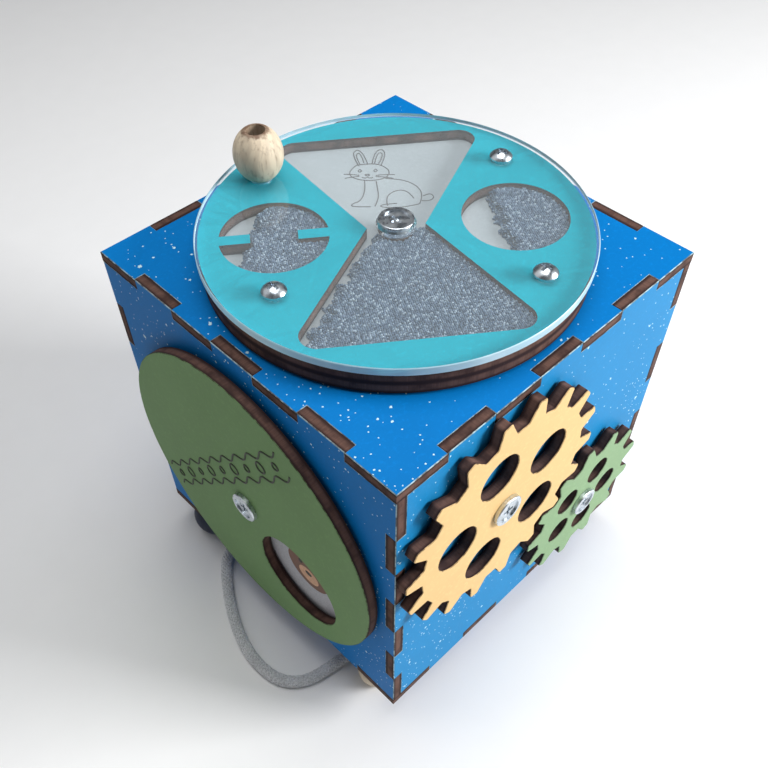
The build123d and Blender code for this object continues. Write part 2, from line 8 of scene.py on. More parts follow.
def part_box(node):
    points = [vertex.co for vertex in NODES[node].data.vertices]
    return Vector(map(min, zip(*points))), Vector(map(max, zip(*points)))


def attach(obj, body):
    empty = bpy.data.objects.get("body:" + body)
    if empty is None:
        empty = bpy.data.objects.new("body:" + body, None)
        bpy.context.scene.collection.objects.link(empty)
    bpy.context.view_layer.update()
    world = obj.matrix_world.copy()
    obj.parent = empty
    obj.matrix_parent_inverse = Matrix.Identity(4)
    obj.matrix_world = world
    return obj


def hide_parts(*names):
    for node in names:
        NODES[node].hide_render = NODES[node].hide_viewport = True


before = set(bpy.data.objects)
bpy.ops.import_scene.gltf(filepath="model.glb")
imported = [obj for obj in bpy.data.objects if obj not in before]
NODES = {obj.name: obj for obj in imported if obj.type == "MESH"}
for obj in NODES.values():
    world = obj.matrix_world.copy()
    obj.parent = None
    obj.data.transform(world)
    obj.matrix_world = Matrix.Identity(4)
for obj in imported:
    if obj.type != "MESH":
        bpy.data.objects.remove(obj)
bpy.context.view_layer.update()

bl_info = {
    "name": "Baby activity cube",
    "version": (1, 0, 0),
    "blender": (4, 5, 0),
    "location": "3D View > Sidebar > Cube",
    "description": "Dresses the activity cube's frame: painted boards, bead wheel, gears, pictures and cord",
    "category": "Add Mesh",
}

MM = 0.001


def low(node):
    """Lowest corner of a frame node at rest."""
    return Vector(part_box(node)[0])


def high(node):
    """Highest corner of a frame node at rest."""
    return Vector(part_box(node)[1])


def middle(node):
    """Centre of a frame node's box at rest."""
    return (low(node) + high(node)) / 2


STOCK = high("top_panel").z - low("top_panel").z
WHEEL_HUB = middle("wheel_base")
BED_FLOOR = high("wheel_base").z
# the wheel's windows: turn of the two round ones' shared line, and of the bead fan's middle
WINDOW_TURN = math.radians(-37.0)
FAN_TURN = WINDOW_TURN - math.pi / 2


# ---- settings ---------------------------------------------------------------------------
def length_prop(name, value, description):
    """A length setting in metres."""
    return bpy.props.FloatProperty(
        name=name, default=value, description=description, unit="LENGTH", precision=5
    )


def colour_prop(name, value, description):
    """A colour setting."""
    return bpy.props.FloatVectorProperty(
        name=name, default=value, description=description, subtype="COLOR", size=3, min=0, max=1
    )


class CubePaints(bpy.types.PropertyGroup):
    """Colours of the boards, wood and cord."""

    box: colour_prop("Box", (0.0002, 0.180, 0.530), "Blue paint of the six boards")
    # The gear side's blue is the same box paint, retuned to the light that falls on that side: painted
    # light.
    box_gear_side_light: colour_prop("Gear side", (0.012, 0.225, 0.500), "The same paint, thinner, on the gear side")
    speck: colour_prop("Specks", (0.60, 0.84, 0.90), "Fine spatter on the blue paint")
    ring: colour_prop("Ring", (0.020, 0.430, 0.530), "Teal paint of the wheel's ring")
    large_gear: colour_prop("Large gear", (0.74, 0.50, 0.225), "Paint of the large gear")
    small_gear: colour_prop("Small gear", (0.240, 0.375, 0.205), "Paint of the small gear")
    disc: colour_prop("Disc", (0.170, 0.300, 0.120), "Paint of the picture disc")
    burnt: colour_prop("Burnt edge", (0.036, 0.020, 0.019), "Scorched skin of a laser-cut edge")
    core: colour_prop("Edge core", (0.150, 0.082, 0.064), "Lighter middle of a laser-cut edge")
    wood: colour_prop("Turned wood", (0.74, 0.62, 0.46), "Bare wooden beads")
    cord: colour_prop("Cord", (0.66, 0.67, 0.69), "Braided cord")


class WheelSizes(bpy.types.PropertyGroup):
    """Sizes inside the bead wheel."""

    round_radius: length_prop("Round window", 17.8 * MM, "Radius of the round windows")
    round_offset: length_prop("Window offset", 39.5 * MM, "Hub to a round window's middle")
    fan_length: length_prop("Fan length", 52 * MM, "Hub to the fan window's outer side")
    fan_half: length_prop("Fan half width", 39 * MM, "Half width of the fan's outer side")
    neck_half: length_prop("Neck half width", 9.6 * MM, "Half width of the opening at the hub")
    tab_half: length_prop("Tab half width", 2.25 * MM, "Half width of the two small tabs")
    tab_reach: length_prop("Tab reach", 7.7 * MM, "Window's middle to a tab's end")
    hub_radius: length_prop("Hub spacer", 5.6 * MM, "Radius of the spacer round the bolt")
    grain: length_prop("Grain", 0.80 * MM, "Diameter of one glass bead")
    bed_depth: length_prop("Bed depth", 2.9 * MM, "Depth of the loose glass beads")


class CordSizes(bpy.types.PropertyGroup):
    """Sizes of the pull cord."""

    diameter: length_prop("Diameter", 5 * MM, "Cord's outer diameter")
    length: length_prop("Length", 164 * MM, "Cord from one hole to the other")
    lay: length_prop("Lay", 15 * MM, "Length of one turn of a strand round the cord")


class StudioSettings(bpy.types.PropertyGroup):
    """Camera and lights."""

    lens: bpy.props.FloatProperty(name="Lens", default=40.78, description="Focal length in mm")
    key: bpy.props.FloatProperty(name="Key light", default=14.0, description="Power in watts")
    top: bpy.props.FloatProperty(name="Top light", default=5.0, description="Power in watts")
    fill: bpy.props.FloatProperty(name="Fill light", default=1.0, description="Power in watts")
    sky: bpy.props.FloatProperty(name="Sky", default=0.11, description="Strength of the white sky")


def settings(group):
    """One of the scene's setting groups."""
    return getattr(bpy.context.scene, group)


# ---- mesh helpers -----------------------------------------------------------------------
def deselect():
    """Leave edit mode with nothing selected."""
    if bpy.context.object and bpy.context.object.mode != "OBJECT":
        bpy.ops.object.mode_set(mode="OBJECT")
    bpy.ops.object.select_all(action="DESELECT")


def pick_faces(piece, test):
    """In edit mode, select the faces whose centre and normal pass a test."""
    bpy.ops.mesh.select_mode(type="FACE")
    bpy.ops.mesh.select_all(action="DESELECT")
    form = bmesh.from_edit_mesh(piece.data)
    for face in form.faces:
        face.select = bool(test(face.calc_center_median(), face.normal))
    form.select_flush_mode()
    bmesh.update_edit_mesh(piece.data)


def start_edit(name):
    """Name the new primitive, bake its place into its mesh, and open it for editing."""
    piece = bpy.context.object
    piece.name = name
    piece.data.name = name
    bpy.ops.object.transform_apply(location=True, rotation=True, scale=True)
    bpy.ops.object.mode_set(mode="EDIT")
    return piece


def end_edit(piece, smooth_degrees=35):
    """Close edit mode with clean outward faces and smooth shading up to an angle."""
    bpy.ops.mesh.select_all(action="SELECT")
    bpy.ops.mesh.remove_doubles(threshold=1e-6)
    bpy.ops.mesh.normals_make_consistent(inside=False)
    bpy.ops.object.mode_set(mode="OBJECT")
    bpy.ops.object.shade_smooth_by_angle(angle=math.radians(smooth_degrees))
    return piece


def join(pieces, name):
    """Join several pieces into one."""
    deselect()
    for piece in pieces:
        piece.select_set(True)
    bpy.context.view_layer.objects.active = pieces[0]
    if len(pieces) > 1:
        bpy.ops.object.join()
    pieces[0].name = name
    pieces[0].data.name = name
    return pieces[0]


def dress(piece, material):
    """Give a piece or a frame node its one material."""
    piece.data.materials.clear()
    piece.data.materials.append(material)


def place(piece, body, material, replaces=()):
    """Finish a new piece: material, body and the frame nodes that it stands for."""
    dress(piece, material)
    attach(piece, body)
    if replaces:
        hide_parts(*replaces)


def lines_to_mesh(name, lines, thickness, round_steps=1, order=3):
    """Thin round lines through lists of points, as one mesh."""
    curve = bpy.data.curves.new(name, "CURVE")
    curve.dimensions = "3D"
    curve.bevel_depth = thickness / 2
    curve.bevel_resolution = round_steps
    curve.resolution_u = 6 if order > 2 else 2
    curve.use_fill_caps = True
    for points in lines:
        spline = curve.splines.new("NURBS")
        spline.points.add(len(points) - 1)
        for target, point in zip(spline.points, points):
            target.co = (*point, 1)
        spline.order_u = order
        spline.use_endpoint_u = True
    drawn = bpy.data.objects.new(name, curve)
    bpy.context.collection.objects.link(drawn)
    deselect()
    drawn.select_set(True)
    bpy.context.view_layer.objects.active = drawn
    bpy.ops.object.convert(target="MESH")
    bpy.ops.object.shade_smooth()
    return bpy.context.object


# ---- material helpers -------------------------------------------------------------------
class Net:
    """Small helper that adds and joins the nodes of one material or group."""

    def __init__(self, tree):
        self.tree = tree

    def add(self, kind, **settings_by_name):
        """A new node with some of its settings."""
        node = self.tree.nodes.new(kind)
        for key, value in settings_by_name.items():
            setattr(node, key, value)
        return node

    def position(self):
        """Coordinates in the shared frame, since pieces keep their origin there."""
        return self.add("ShaderNodeTexCoord").outputs["Object"]

    def put(self, socket, value):
        """Join an output to an input, or set the input's own value."""
        if isinstance(value, bpy.types.NodeSocket):
            self.tree.links.new(value, socket)
        elif isinstance(value, (tuple, list)) and len(value) == 3 and socket.type == "RGBA":
            socket.default_value = (*value, 1)
        else:
            socket.default_value = value

    def math(self, operation, first, second=0.5, third=0.0, clamp=False):
        """A sum on numbers."""
        node = self.add("ShaderNodeMath", operation=operation, use_clamp=clamp)
        for socket, value in zip(node.inputs, (first, second, third)):
            self.put(socket, value)
        return node.outputs[0]

    def vector(self, operation, first, second=(0, 0, 0)):
        """A sum on vectors."""
        node = self.add("ShaderNodeVectorMath", operation=operation)
        self.put(node.inputs[0], first)
        if operation == "SCALE":
            self.put(node.inputs["Scale"], second)
        else:
            self.put(node.inputs[1], second)
        return node.outputs["Value" if operation in ("DOT_PRODUCT", "LENGTH") else "Vector"]

    def span(self, value, low_in, high_in, low_out=0.0, high_out=1.0):
        """A smooth step from one range of values to another."""
        node = self.add("ShaderNodeMapRange", interpolation_type="SMOOTHSTEP")
        for socket, part in zip(node.inputs, (value, low_in, high_in, low_out, high_out)):
            self.put(socket, part)
        return node.outputs[0]

    def mix(self, factor, first, second):
        """A blend of two colours."""
        node = self.add("ShaderNodeMix", data_type="RGBA")
        self.put(node.inputs[0], factor)
        self.put(node.inputs[6], first)
        self.put(node.inputs[7], second)
        return node.outputs[2]

    def noise(self, place_vector, scale, detail=3.0, roughness=0.55):
        """Soft noise from 0 to 1."""
        node = self.add("ShaderNodeTexNoise")
        self.put(node.inputs["Vector"], place_vector)
        node.inputs["Scale"].default_value = scale
        node.inputs["Detail"].default_value = detail
        node.inputs["Roughness"].default_value = roughness
        return node.outputs["Fac"]

    def cells(self, flat_vector, scale):
        """Distance to the nearest of scattered flat points, and a chance colour for each."""
        node = self.add("ShaderNodeTexVoronoi", voronoi_dimensions="2D")
        self.put(node.inputs["Vector"], flat_vector)
        node.inputs["Scale"].default_value = scale
        return node.outputs["Distance"], node.outputs["Color"]

    def group(self, name, **inputs):
        """One of this file's node groups, with its inputs set; gives its outputs."""
        node = self.add("ShaderNodeGroup")
        node.node_tree = bpy.data.node_groups[name]
        for key, value in inputs.items():
            self.put(node.inputs[key], value)
        return node.outputs


def new_group(name, inputs, outputs):
    """An empty shader node group with named sockets; gives its net, inputs and output node."""
    tree = bpy.data.node_groups.new(name, "ShaderNodeTree")
    for label, kind in inputs:
        tree.interface.new_socket(label, in_out="INPUT", socket_type=kind)
    for label, kind in outputs:
        tree.interface.new_socket(label, in_out="OUTPUT", socket_type=kind)
    net = Net(tree)
    return net, net.add("NodeGroupInput").outputs, net.add("NodeGroupOutput").inputs


def new_material(name):
    """A material with one Principled shader; gives the material, its net and the shader."""
    material = bpy.data.materials.new(name)
    material.use_nodes = True
    material.node_tree.nodes.clear()
    net = Net(material.node_tree)
    shader = net.add("ShaderNodeBsdfPrincipled")
    output = net.add("ShaderNodeOutputMaterial")
    net.put(output.inputs["Surface"], shader.outputs[0])
    return material, net, shader


def finish_surface(net, shader, colour, roughness, height, bump_distance):
    """Feed a Principled shader's colour, roughness and bump."""
    net.put(shader.inputs["Base Color"], colour)
    net.put(shader.inputs["Roughness"], roughness)
    bump = net.add("ShaderNodeBump")
    bump.inputs["Strength"].default_value = 1.0
    bump.inputs["Distance"].default_value = bump_distance
    net.put(bump.inputs["Height"], height)
    net.put(shader.inputs["Normal"], bump.outputs[0])


COLOUR, FLOAT, VECTOR = "NodeSocketColor", "NodeSocketFloat", "NodeSocketVector"


def build_laser_edge_group():
    """Laser-cut board edge: scorched skins, a lighter core and fine upright streaks."""
    net, given, result = new_group(
        "Laser edge",
        [("Burnt", COLOUR), ("Core", COLOUR), ("Depth", FLOAT), ("Axis", VECTOR)],
        [("Color", COLOUR), ("Height", FLOAT)],
    )
    place_vector = net.position()
    along = net.vector("DOT_PRODUCT", place_vector, given["Axis"])
    flat = net.vector("SUBTRACT", place_vector, net.vector("SCALE", given["Axis"], along))
    streaks = net.noise(flat, 2400.0, 2.0)
    blotches = net.noise(place_vector, 160.0, 3.0)
    off_middle = net.math("ABSOLUTE", net.math("SUBTRACT", given["Depth"], STOCK / 2))
    core = net.span(off_middle, STOCK * 0.42, STOCK * 0.14)
    amount = net.math("MULTIPLY", core, net.span(blotches, 0.3, 0.62, 0.25, 1.0))
    streaked = net.math("MULTIPLY", amount, net.span(streaks, 0.3, 0.7, 0.7, 1.05), clamp=True)
    net.put(result["Color"], net.mix(streaked, given["Burnt"], given["Core"]))
    net.put(result["Height"], streaks)


# cell size in metres, least and greatest share of cells with a speck, its radius in cells
SPECKS = (
    (0.0024, 0.05, 0.34, 0.130),
    (0.0062, 0.08, 0.32, 0.085),
    (0.0170, 0.15, 0.40, 0.048),
)


def build_spatter_group():
    """Round paint specks of three sizes on a flat face, in loose clusters; a mask from 0 to 1."""
    net, given, result = new_group(
        "Spatter", [("Amount", FLOAT), ("Axis", VECTOR)], [("Mask", FLOAT)]
    )
    place_vector = net.position()
    across = net.vector("NORMALIZE", net.vector("CROSS_PRODUCT", given["Axis"], (0.36, 0.48, 0.80)))
    upward = net.vector("CROSS_PRODUCT", given["Axis"], across)
    flat = net.add("ShaderNodeCombineXYZ")
    net.put(flat.inputs[0], net.vector("DOT_PRODUCT", place_vector, across))
    net.put(flat.inputs[1], net.vector("DOT_PRODUCT", place_vector, upward))
    clusters = net.noise(place_vector, 24.0, 2.0)
    ragged = net.span(net.noise(place_vector, 2600.0, 2.0), 0.3, 0.7, 0.6, 1.3)
    masks = []
    for cell_size, fewest, most, widest in SPECKS:
        distance, colour = net.cells(flat.outputs[0], 1.0 / cell_size)
        parts = net.add("ShaderNodeSeparateColor")
        net.put(parts.inputs[0], colour)
        missing = net.span(clusters, 0.38, 0.62, 1.0 - fewest, 1.0 - most)
        present = net.math("GREATER_THAN", parts.outputs[0], missing)
        radius = net.math("MULTIPLY_ADD", parts.outputs[1], widest * 0.65, widest * 0.35)
        inside = net.math("LESS_THAN", distance, net.math("MULTIPLY", radius, ragged))
        masks.append(net.math("MULTIPLY", present, inside))
    speckled = masks[0]
    for mask in masks[1:]:
        speckled = net.math("MAXIMUM", speckled, mask)
    net.put(result["Mask"], net.math("MULTIPLY", speckled, given["Amount"], clamp=True))


def build_painted_board_group():
    """Painted outer face, laser-cut edges and bare back of a board, told apart by its normal."""
    net, given, result = new_group(
        "Painted board",
        [
            ("Paint", COLOUR),
            ("Speck", COLOUR),
            ("Back", COLOUR),
            ("Burnt", COLOUR),
            ("Core", COLOUR),
            ("Axis", VECTOR),
            ("Face", FLOAT),
            ("Spatter", FLOAT),
        ],
        [("Color", COLOUR), ("Roughness", FLOAT), ("Height", FLOAT)],
    )
    coordinates = net.add("ShaderNodeTexCoord").outputs
    place_vector = coordinates["Object"]
    facing = net.vector("DOT_PRODUCT", coordinates["Normal"], given["Axis"])
    front = net.span(facing, 0.85, 0.97)
    rear = net.span(facing, -0.85, -0.97)
    depth = net.math("SUBTRACT", given["Face"], net.vector("DOT_PRODUCT", place_vector, given["Axis"]))
    edge = net.group(
        "Laser edge", Burnt=given["Burnt"], Core=given["Core"], Depth=depth, Axis=given["Axis"]
    )
    clouds = net.noise(place_vector, 38.0, 4.0, 0.6)
    fibres = net.noise(place_vector, 700.0, 2.0, 0.6)
    shade = net.span(clouds, 0.3, 0.7, 0.0, 0.22)
    tint = net.mix(shade, given["Paint"], net.vector("SCALE", given["Paint"], 0.78))
    tint = net.mix(net.span(fibres, 0.5, 0.8, 0.0, 0.4), tint, net.vector("SCALE", given["Paint"], 1.3))
    specks = net.group("Spatter", Amount=given["Spatter"], Axis=given["Axis"])["Mask"]
    painted = net.mix(specks, tint, given["Speck"])
    # Chamfers are lightened towards the speck colour in noisy patches: partly rubbed paint, partly a painted
    # highlight along the edges.
    rubbed_and_highlight = net.span(net.noise(place_vector, 420.0, 3.0), 0.34, 0.62, 0.12, 0.62)
    bevel = net.math("MULTIPLY", net.span(facing, 0.35, 0.6), net.math("SUBTRACT", 1.0, front))
    edge_colour = net.mix(net.math("MULTIPLY", bevel, rubbed_and_highlight), edge["Color"], given["Speck"])
    back = net.mix(net.span(fibres, 0.35, 0.65), given["Back"], net.vector("SCALE", given["Back"], 0.7))
    sides = net.mix(rear, edge_colour, back)
    net.put(result["Color"], net.mix(front, sides, painted))
    net.put(result["Roughness"], net.math("SUBTRACT", 0.72, net.math("MULTIPLY", front, 0.22)))
    face_height = net.math("ADD", net.math("MULTIPLY", fibres, 0.12), net.math("MULTIPLY", specks, 0.8))
    edge_height = net.math("MULTIPLY", edge["Height"], 0.9)
    slopes = net.mix(front, edge_height, face_height)
    net.put(result["Height"], slopes)


BARE_BACK = (0.17, 0.10, 0.06)
RELIEF = 0.06 * MM


def board_material(name, paint, axis, face, spatter=0.0, speck=None):
    """Painted board whose outer face looks along axis, at the given distance from the origin."""
    paints = settings("cube_paints")
    material, net, shader = new_material(name)
    board = net.group(
        "Painted board",
        Paint=tuple(paint),
        Speck=tuple(speck or paints.speck),
        Back=BARE_BACK,
        Burnt=tuple(paints.burnt),
        Core=tuple(paints.core),
        Axis=axis,
        Face=face,
        Spatter=spatter,
    )
    shader.inputs["Specular IOR Level"].default_value = 0.10
    finish_surface(net, shader, board["Color"], board["Roughness"], board["Height"], RELIEF)
    return material


def zinc_material():
    """Bright zinc plate with faint blotches and fine brushing."""
    material, net, shader = new_material("Zinc plate")
    place_vector = net.position()
    blotches = net.noise(place_vector, 420.0, 4.0)
    brushing = net.noise(place_vector, 3800.0, 2.0)
    tint = net.mix(net.span(blotches, 0.35, 0.7), (0.56, 0.61, 0.66), (0.74, 0.78, 0.82))
    shader.inputs["Metallic"].default_value = 1.0
    roughness = net.span(blotches, 0.3, 0.75, 0.24, 0.40)
    finish_surface(net, shader, tint, roughness, brushing, 1.5e-6)
    return material


def acrylic_material():
    """Clear polished acrylic that lets light through to what is under it."""
    material, net, shader = new_material("Clear acrylic")
    place_vector = net.position()
    scratches = net.noise(net.vector("MULTIPLY", place_vector, (1, 14, 1)), 90.0, 3.0)
    shader.inputs["Transmission Weight"].default_value = 0.96
    shader.inputs["IOR"].default_value = 1.46
    roughness = net.span(scratches, 0.4, 0.8, 0.01, 0.05)
    finish_surface(net, shader, (0.93, 0.985, 1.0), roughness, scratches, 2e-6)
    clear = net.add("ShaderNodeBsdfTransparent")
    clear.inputs[0].default_value = (0.95, 0.98, 0.99, 1)
    blend = net.add("ShaderNodeMixShader")
    path = net.add("ShaderNodeLightPath")
    passing = net.math("MAXIMUM", path.outputs["Is Shadow Ray"], path.outputs["Is Diffuse Ray"])
    net.put(blend.inputs[0], passing)
    net.put(blend.inputs[1], shader.outputs[0])
    net.put(blend.inputs[2], clear.outputs[0])
    output = next(node for node in material.node_tree.nodes if node.type == "OUTPUT_MATERIAL")
    net.put(output.inputs["Surface"], blend.outputs[0])
    return material


def sawn_edge_material():
    """Sawn edge of the acrylic: frosted, pale blue, with fine saw marks."""
    material, net, shader = new_material("Sawn acrylic edge")
    place_vector = net.position()
    marks = net.noise(net.vector("MULTIPLY", place_vector, (1, 1, 0.2)), 1800.0, 2.0)
    clouds = net.noise(place_vector, 60.0, 2.0)
    colour = net.mix(net.span(clouds, 0.35, 0.65), (0.48, 0.70, 0.82), (0.62, 0.82, 0.92))
    shader.inputs["Transmission Weight"].default_value = 0.25
    shader.inputs["IOR"].default_value = 1.49
    finish_surface(net, shader, colour, net.span(marks, 0.3, 0.7, 0.35, 0.5), marks, 0.00001)
    return material


# share of the glass beads up to each tone, and the tone
GRAIN_TONES = (
    (0.0, (0.038, 0.066, 0.115)),
    (0.45, (0.090, 0.140, 0.215)),
    (0.8, (0.17, 0.23, 0.315)),
    (1.0, (0.46, 0.53, 0.62)),
)


def glass_grain_material():
    """Tiny silvery glass beads, each a little different."""
    material, net, shader = new_material("Glass grains")
    chance = net.add("ShaderNodeNewGeometry").outputs["Random Per Island"]
    ramp = net.add("ShaderNodeValToRGB")
    net.put(ramp.inputs[0], chance)
    ramp.color_ramp.elements.remove(ramp.color_ramp.elements[0])
    for index, (spot, colour) in enumerate(GRAIN_TONES):
        stop = ramp.color_ramp.elements[0] if index == 0 else ramp.color_ramp.elements.new(spot)
        stop.position = spot
        stop.color = (*colour, 1)
    place_vector = net.position()
    dust = net.noise(place_vector, 2600.0, 2.0)
    shader.inputs["Specular IOR Level"].default_value = 0.5
    finish_surface(net, shader, ramp.outputs[0], net.span(dust, 0.3, 0.7, 0.28, 0.42), dust, 0.00001)
    return material


def turned_wood_material(name, light, dark, centre, half_height, mouth_radius):
    """Turned wood: long grain up the bead, faint rings, small pores, and scorched ends."""
    material, net, shader = new_material(name)
    place_vector = net.position()
    local = net.vector("SUBTRACT", place_vector, tuple(centre))
    stretched = net.vector("MULTIPLY", local, (1.0, 1.0, 0.16))
    grain = net.noise(stretched, 900.0, 4.0, 0.6)
    rings = net.add("ShaderNodeTexWave", wave_type="RINGS", rings_direction="Z")
    net.put(rings.inputs["Vector"], net.vector("ADD", local, (0.006, 0.002, 0)))
    rings.inputs["Scale"].default_value = 110.0
    rings.inputs["Distortion"].default_value = 3.0
    rings.inputs["Detail"].default_value = 2.0
    bands = net.span(rings.outputs["Fac"], 0.2, 0.9, 0.0, 0.16)
    pores = net.span(grain, 0.48, 0.74, 0.0, 0.42)
    height_up = net.add("ShaderNodeSeparateXYZ")
    net.put(height_up.inputs[0], local)
    level_up = net.math("MULTIPLY", net.math("ABSOLUTE", height_up.outputs[2]), 1 / half_height)
    scorch = net.math("ADD", level_up, net.math("MULTIPLY", net.noise(local, 600.0), 0.22))
    scorched = net.span(scorch, 1.0, 1.1, 0.0, 0.85)
    from_axis = net.vector("LENGTH", net.vector("MULTIPLY", local, (1, 1, 0)))
    inside = net.span(from_axis, mouth_radius + 0.3 * MM, mouth_radius - 0.2 * MM, 0.0, 0.9)
    scorched = net.math("MAXIMUM", scorched, inside)
    tone = net.math("ADD", net.math("ADD", bands, pores), scorched, clamp=True)
    colour = net.mix(tone, tuple(light), tuple(dark))
    finish_surface(net, shader, colour, net.span(grain, 0.3, 0.7, 0.5, 0.68), grain, 0.05 * MM)
    return material


def paper_material():
    """Printed sheet with a faint tooth: the off-white paper is painted mid grey, as painted shade behind the
    disc.
    """
    material, net, shader = new_material("Printed sheet")
    place_vector = net.position()
    tooth = net.noise(place_vector, 1300.0, 3.0)
    # Grey instead of off-white: painted shade from the disc in front of the sheet.
    colour = net.mix(net.span(tooth, 0.3, 0.7), (0.42, 0.42, 0.45), (0.52, 0.52, 0.55))
    finish_surface(net, shader, colour, 0.6, tooth, 0.00002)
    return material


def ink_material(name, colour):
    """Printed or drawn colour with a slightly uneven coat."""
    material, net, shader = new_material(name)
    place_vector = net.position()
    mottle = net.noise(place_vector, 800.0, 3.0)
    paler = tuple(min(1.0, part * 1.25 + 0.02) for part in colour)
    tint = net.mix(net.span(mottle, 0.35, 0.75), tuple(colour), paler)
    finish_surface(net, shader, tint, net.span(mottle, 0.3, 0.7, 0.5, 0.65), mottle, 0.00002)
    return material


def cord_material():
    """Braided synthetic cord: soft sheen, fine fibres, and painted shade in the dips between the strands."""
    material, net, shader = new_material("Grey braid")
    place_vector = net.position()
    fibres = net.noise(place_vector, 4200.0, 3.0)
    soiling = net.noise(place_vector, 90.0, 3.0)
    base = tuple(settings("cube_paints").cord)
    pale = tuple(min(1.0, part * 1.12) for part in base)
    dip_shade_mask = net.noise(place_vector, 1500.0, 2.0)
    shaded = tuple(part * 0.55 for part in base)
    colour = net.mix(net.span(fibres, 0.3, 0.7), base, pale)
    # Noise patches are darkened towards the shaded copy of the cord colour: painted shade for the dips
    # between the strands.
    colour = net.mix(net.span(dip_shade_mask, 0.40, 0.66, 0.0, 0.6), colour, shaded)
    colour = net.mix(net.span(soiling, 0.45, 0.8, 0.0, 0.3), colour, (0.22, 0.22, 0.23))
    shader.inputs["Sheen Weight"].default_value = 0.4
    finish_surface(net, shader, colour, net.span(fibres, 0.3, 0.7, 0.6, 0.8), fibres, RELIEF)
    return material


# ---- stage ------------------------------------------------------------------------------
# metres, degrees, and shares of the frame's width
CAMERA_PLACE = (-0.16382, -0.16102, 0.34276)
CAMERA_TURN = (39.222, 0.430, -44.356)
CAMERA_SHIFT = (0.0078, 0.0618)
PALE_BACKGROUND = 0.9
CUBE_MIDDLE = (0, 0, 0.09)
FLOOR_WIDTH = 8


class CUBE_OT_stage(bpy.types.Operator):
    """Camera, soft studio lights and a plain pale floor."""

    bl_idname = "cube.stage"
    bl_label = "Stage"

    def execute(self, context):
        studio = settings("cube_studio")
        scene = context.scene
        scene.view_settings.view_transform = "Standard"
        lens = bpy.data.cameras.new("Camera")
        lens.lens = studio.lens
        lens.clip_start = 0.01
        lens.shift_x, lens.shift_y = CAMERA_SHIFT
        camera = bpy.data.objects.new("Camera", lens)
        camera.location = CAMERA_PLACE
        camera.rotation_euler = [math.radians(angle) for angle in CAMERA_TURN]
        scene.collection.objects.link(camera)
        scene.camera = camera
        self.add_light("Key", (0.60, -0.78, 0.52), studio.key, 0.40)
        self.add_light("Top", (0.05, 0.02, 0.95), studio.top, 0.60)
        self.add_light("Fill", (-0.42, 0.50, 0.72), studio.fill, 0.75)
        world = bpy.data.worlds.new("Sky")
        scene.world = world
        world.use_nodes = True
        sky = world.node_tree.nodes["Background"]
        sky.inputs[0].default_value = (0.93, 0.96, 1.0, 1)
        net = Net(world.node_tree)
        path = net.add("ShaderNodeLightPath")
        seen = net.math("MAXIMUM", path.outputs["Is Camera Ray"], path.outputs["Is Transmission Ray"])
        net.put(sky.inputs[1], net.span(seen, 0.0, 1.0, studio.sky, PALE_BACKGROUND))
        self.add_floor()
        return {"FINISHED"}

    def add_light(self, name, spot, power, size):
        """A square soft light that looks at the cube's middle."""
        light = bpy.data.lights.new(name, "AREA")
        light.energy = power
        light.size = size
        lamp = bpy.data.objects.new(name, light)
        lamp.location = spot
        target = Vector(CUBE_MIDDLE)
        lamp.rotation_euler = (target - Vector(spot)).to_track_quat("-Z", "Y").to_euler()
        bpy.context.scene.collection.objects.link(lamp)

    def add_floor(self):
        """Plain pale floor, far larger than the view."""
        deselect()
        bpy.ops.mesh.primitive_plane_add(size=FLOOR_WIDTH, location=(0, 0, 0))
        floor = bpy.context.object
        floor.name = "floor"
        material, net, shader = new_material("Pale floor")
        place_vector = net.position()
        mottle = net.noise(place_vector, 60.0, 3.0)
        colour = net.mix(mottle, (0.90, 0.90, 0.90), (0.93, 0.93, 0.93))
        finish_surface(net, shader, colour, 0.85, mottle, 0.00001)
        dress(floor, material)


# ---- cord -------------------------------------------------------------------------------
# millimetres: the middle of the cord, from one hole in the bottom board to the other
HOLE_MOUTH = 18.0
GROUND = 2.5
CORD_ROUTE = [
    (-50.0, 37.5, HOLE_MOUTH),
    (-50.0, 37.5, GROUND),
    (-69.3, 37.8, GROUND),
    (-78.8, 25.8, GROUND),
    (-86.5, 12.3, GROUND),
    (-92.2, -1.6, GROUND),
    (-94.2, -15.0, GROUND),
    (-92.2, -27.5, GROUND),
    (-84.0, -34.8, GROUND),
    (-72.8, -36.8, GROUND),
    (-62.0, -38.2, GROUND),
    (-46.0, -39.8, GROUND),
    (-46.0, -39.8, HOLE_MOUTH),
]
STRANDS = 8  # each way round
KNOT_STEPS = 24


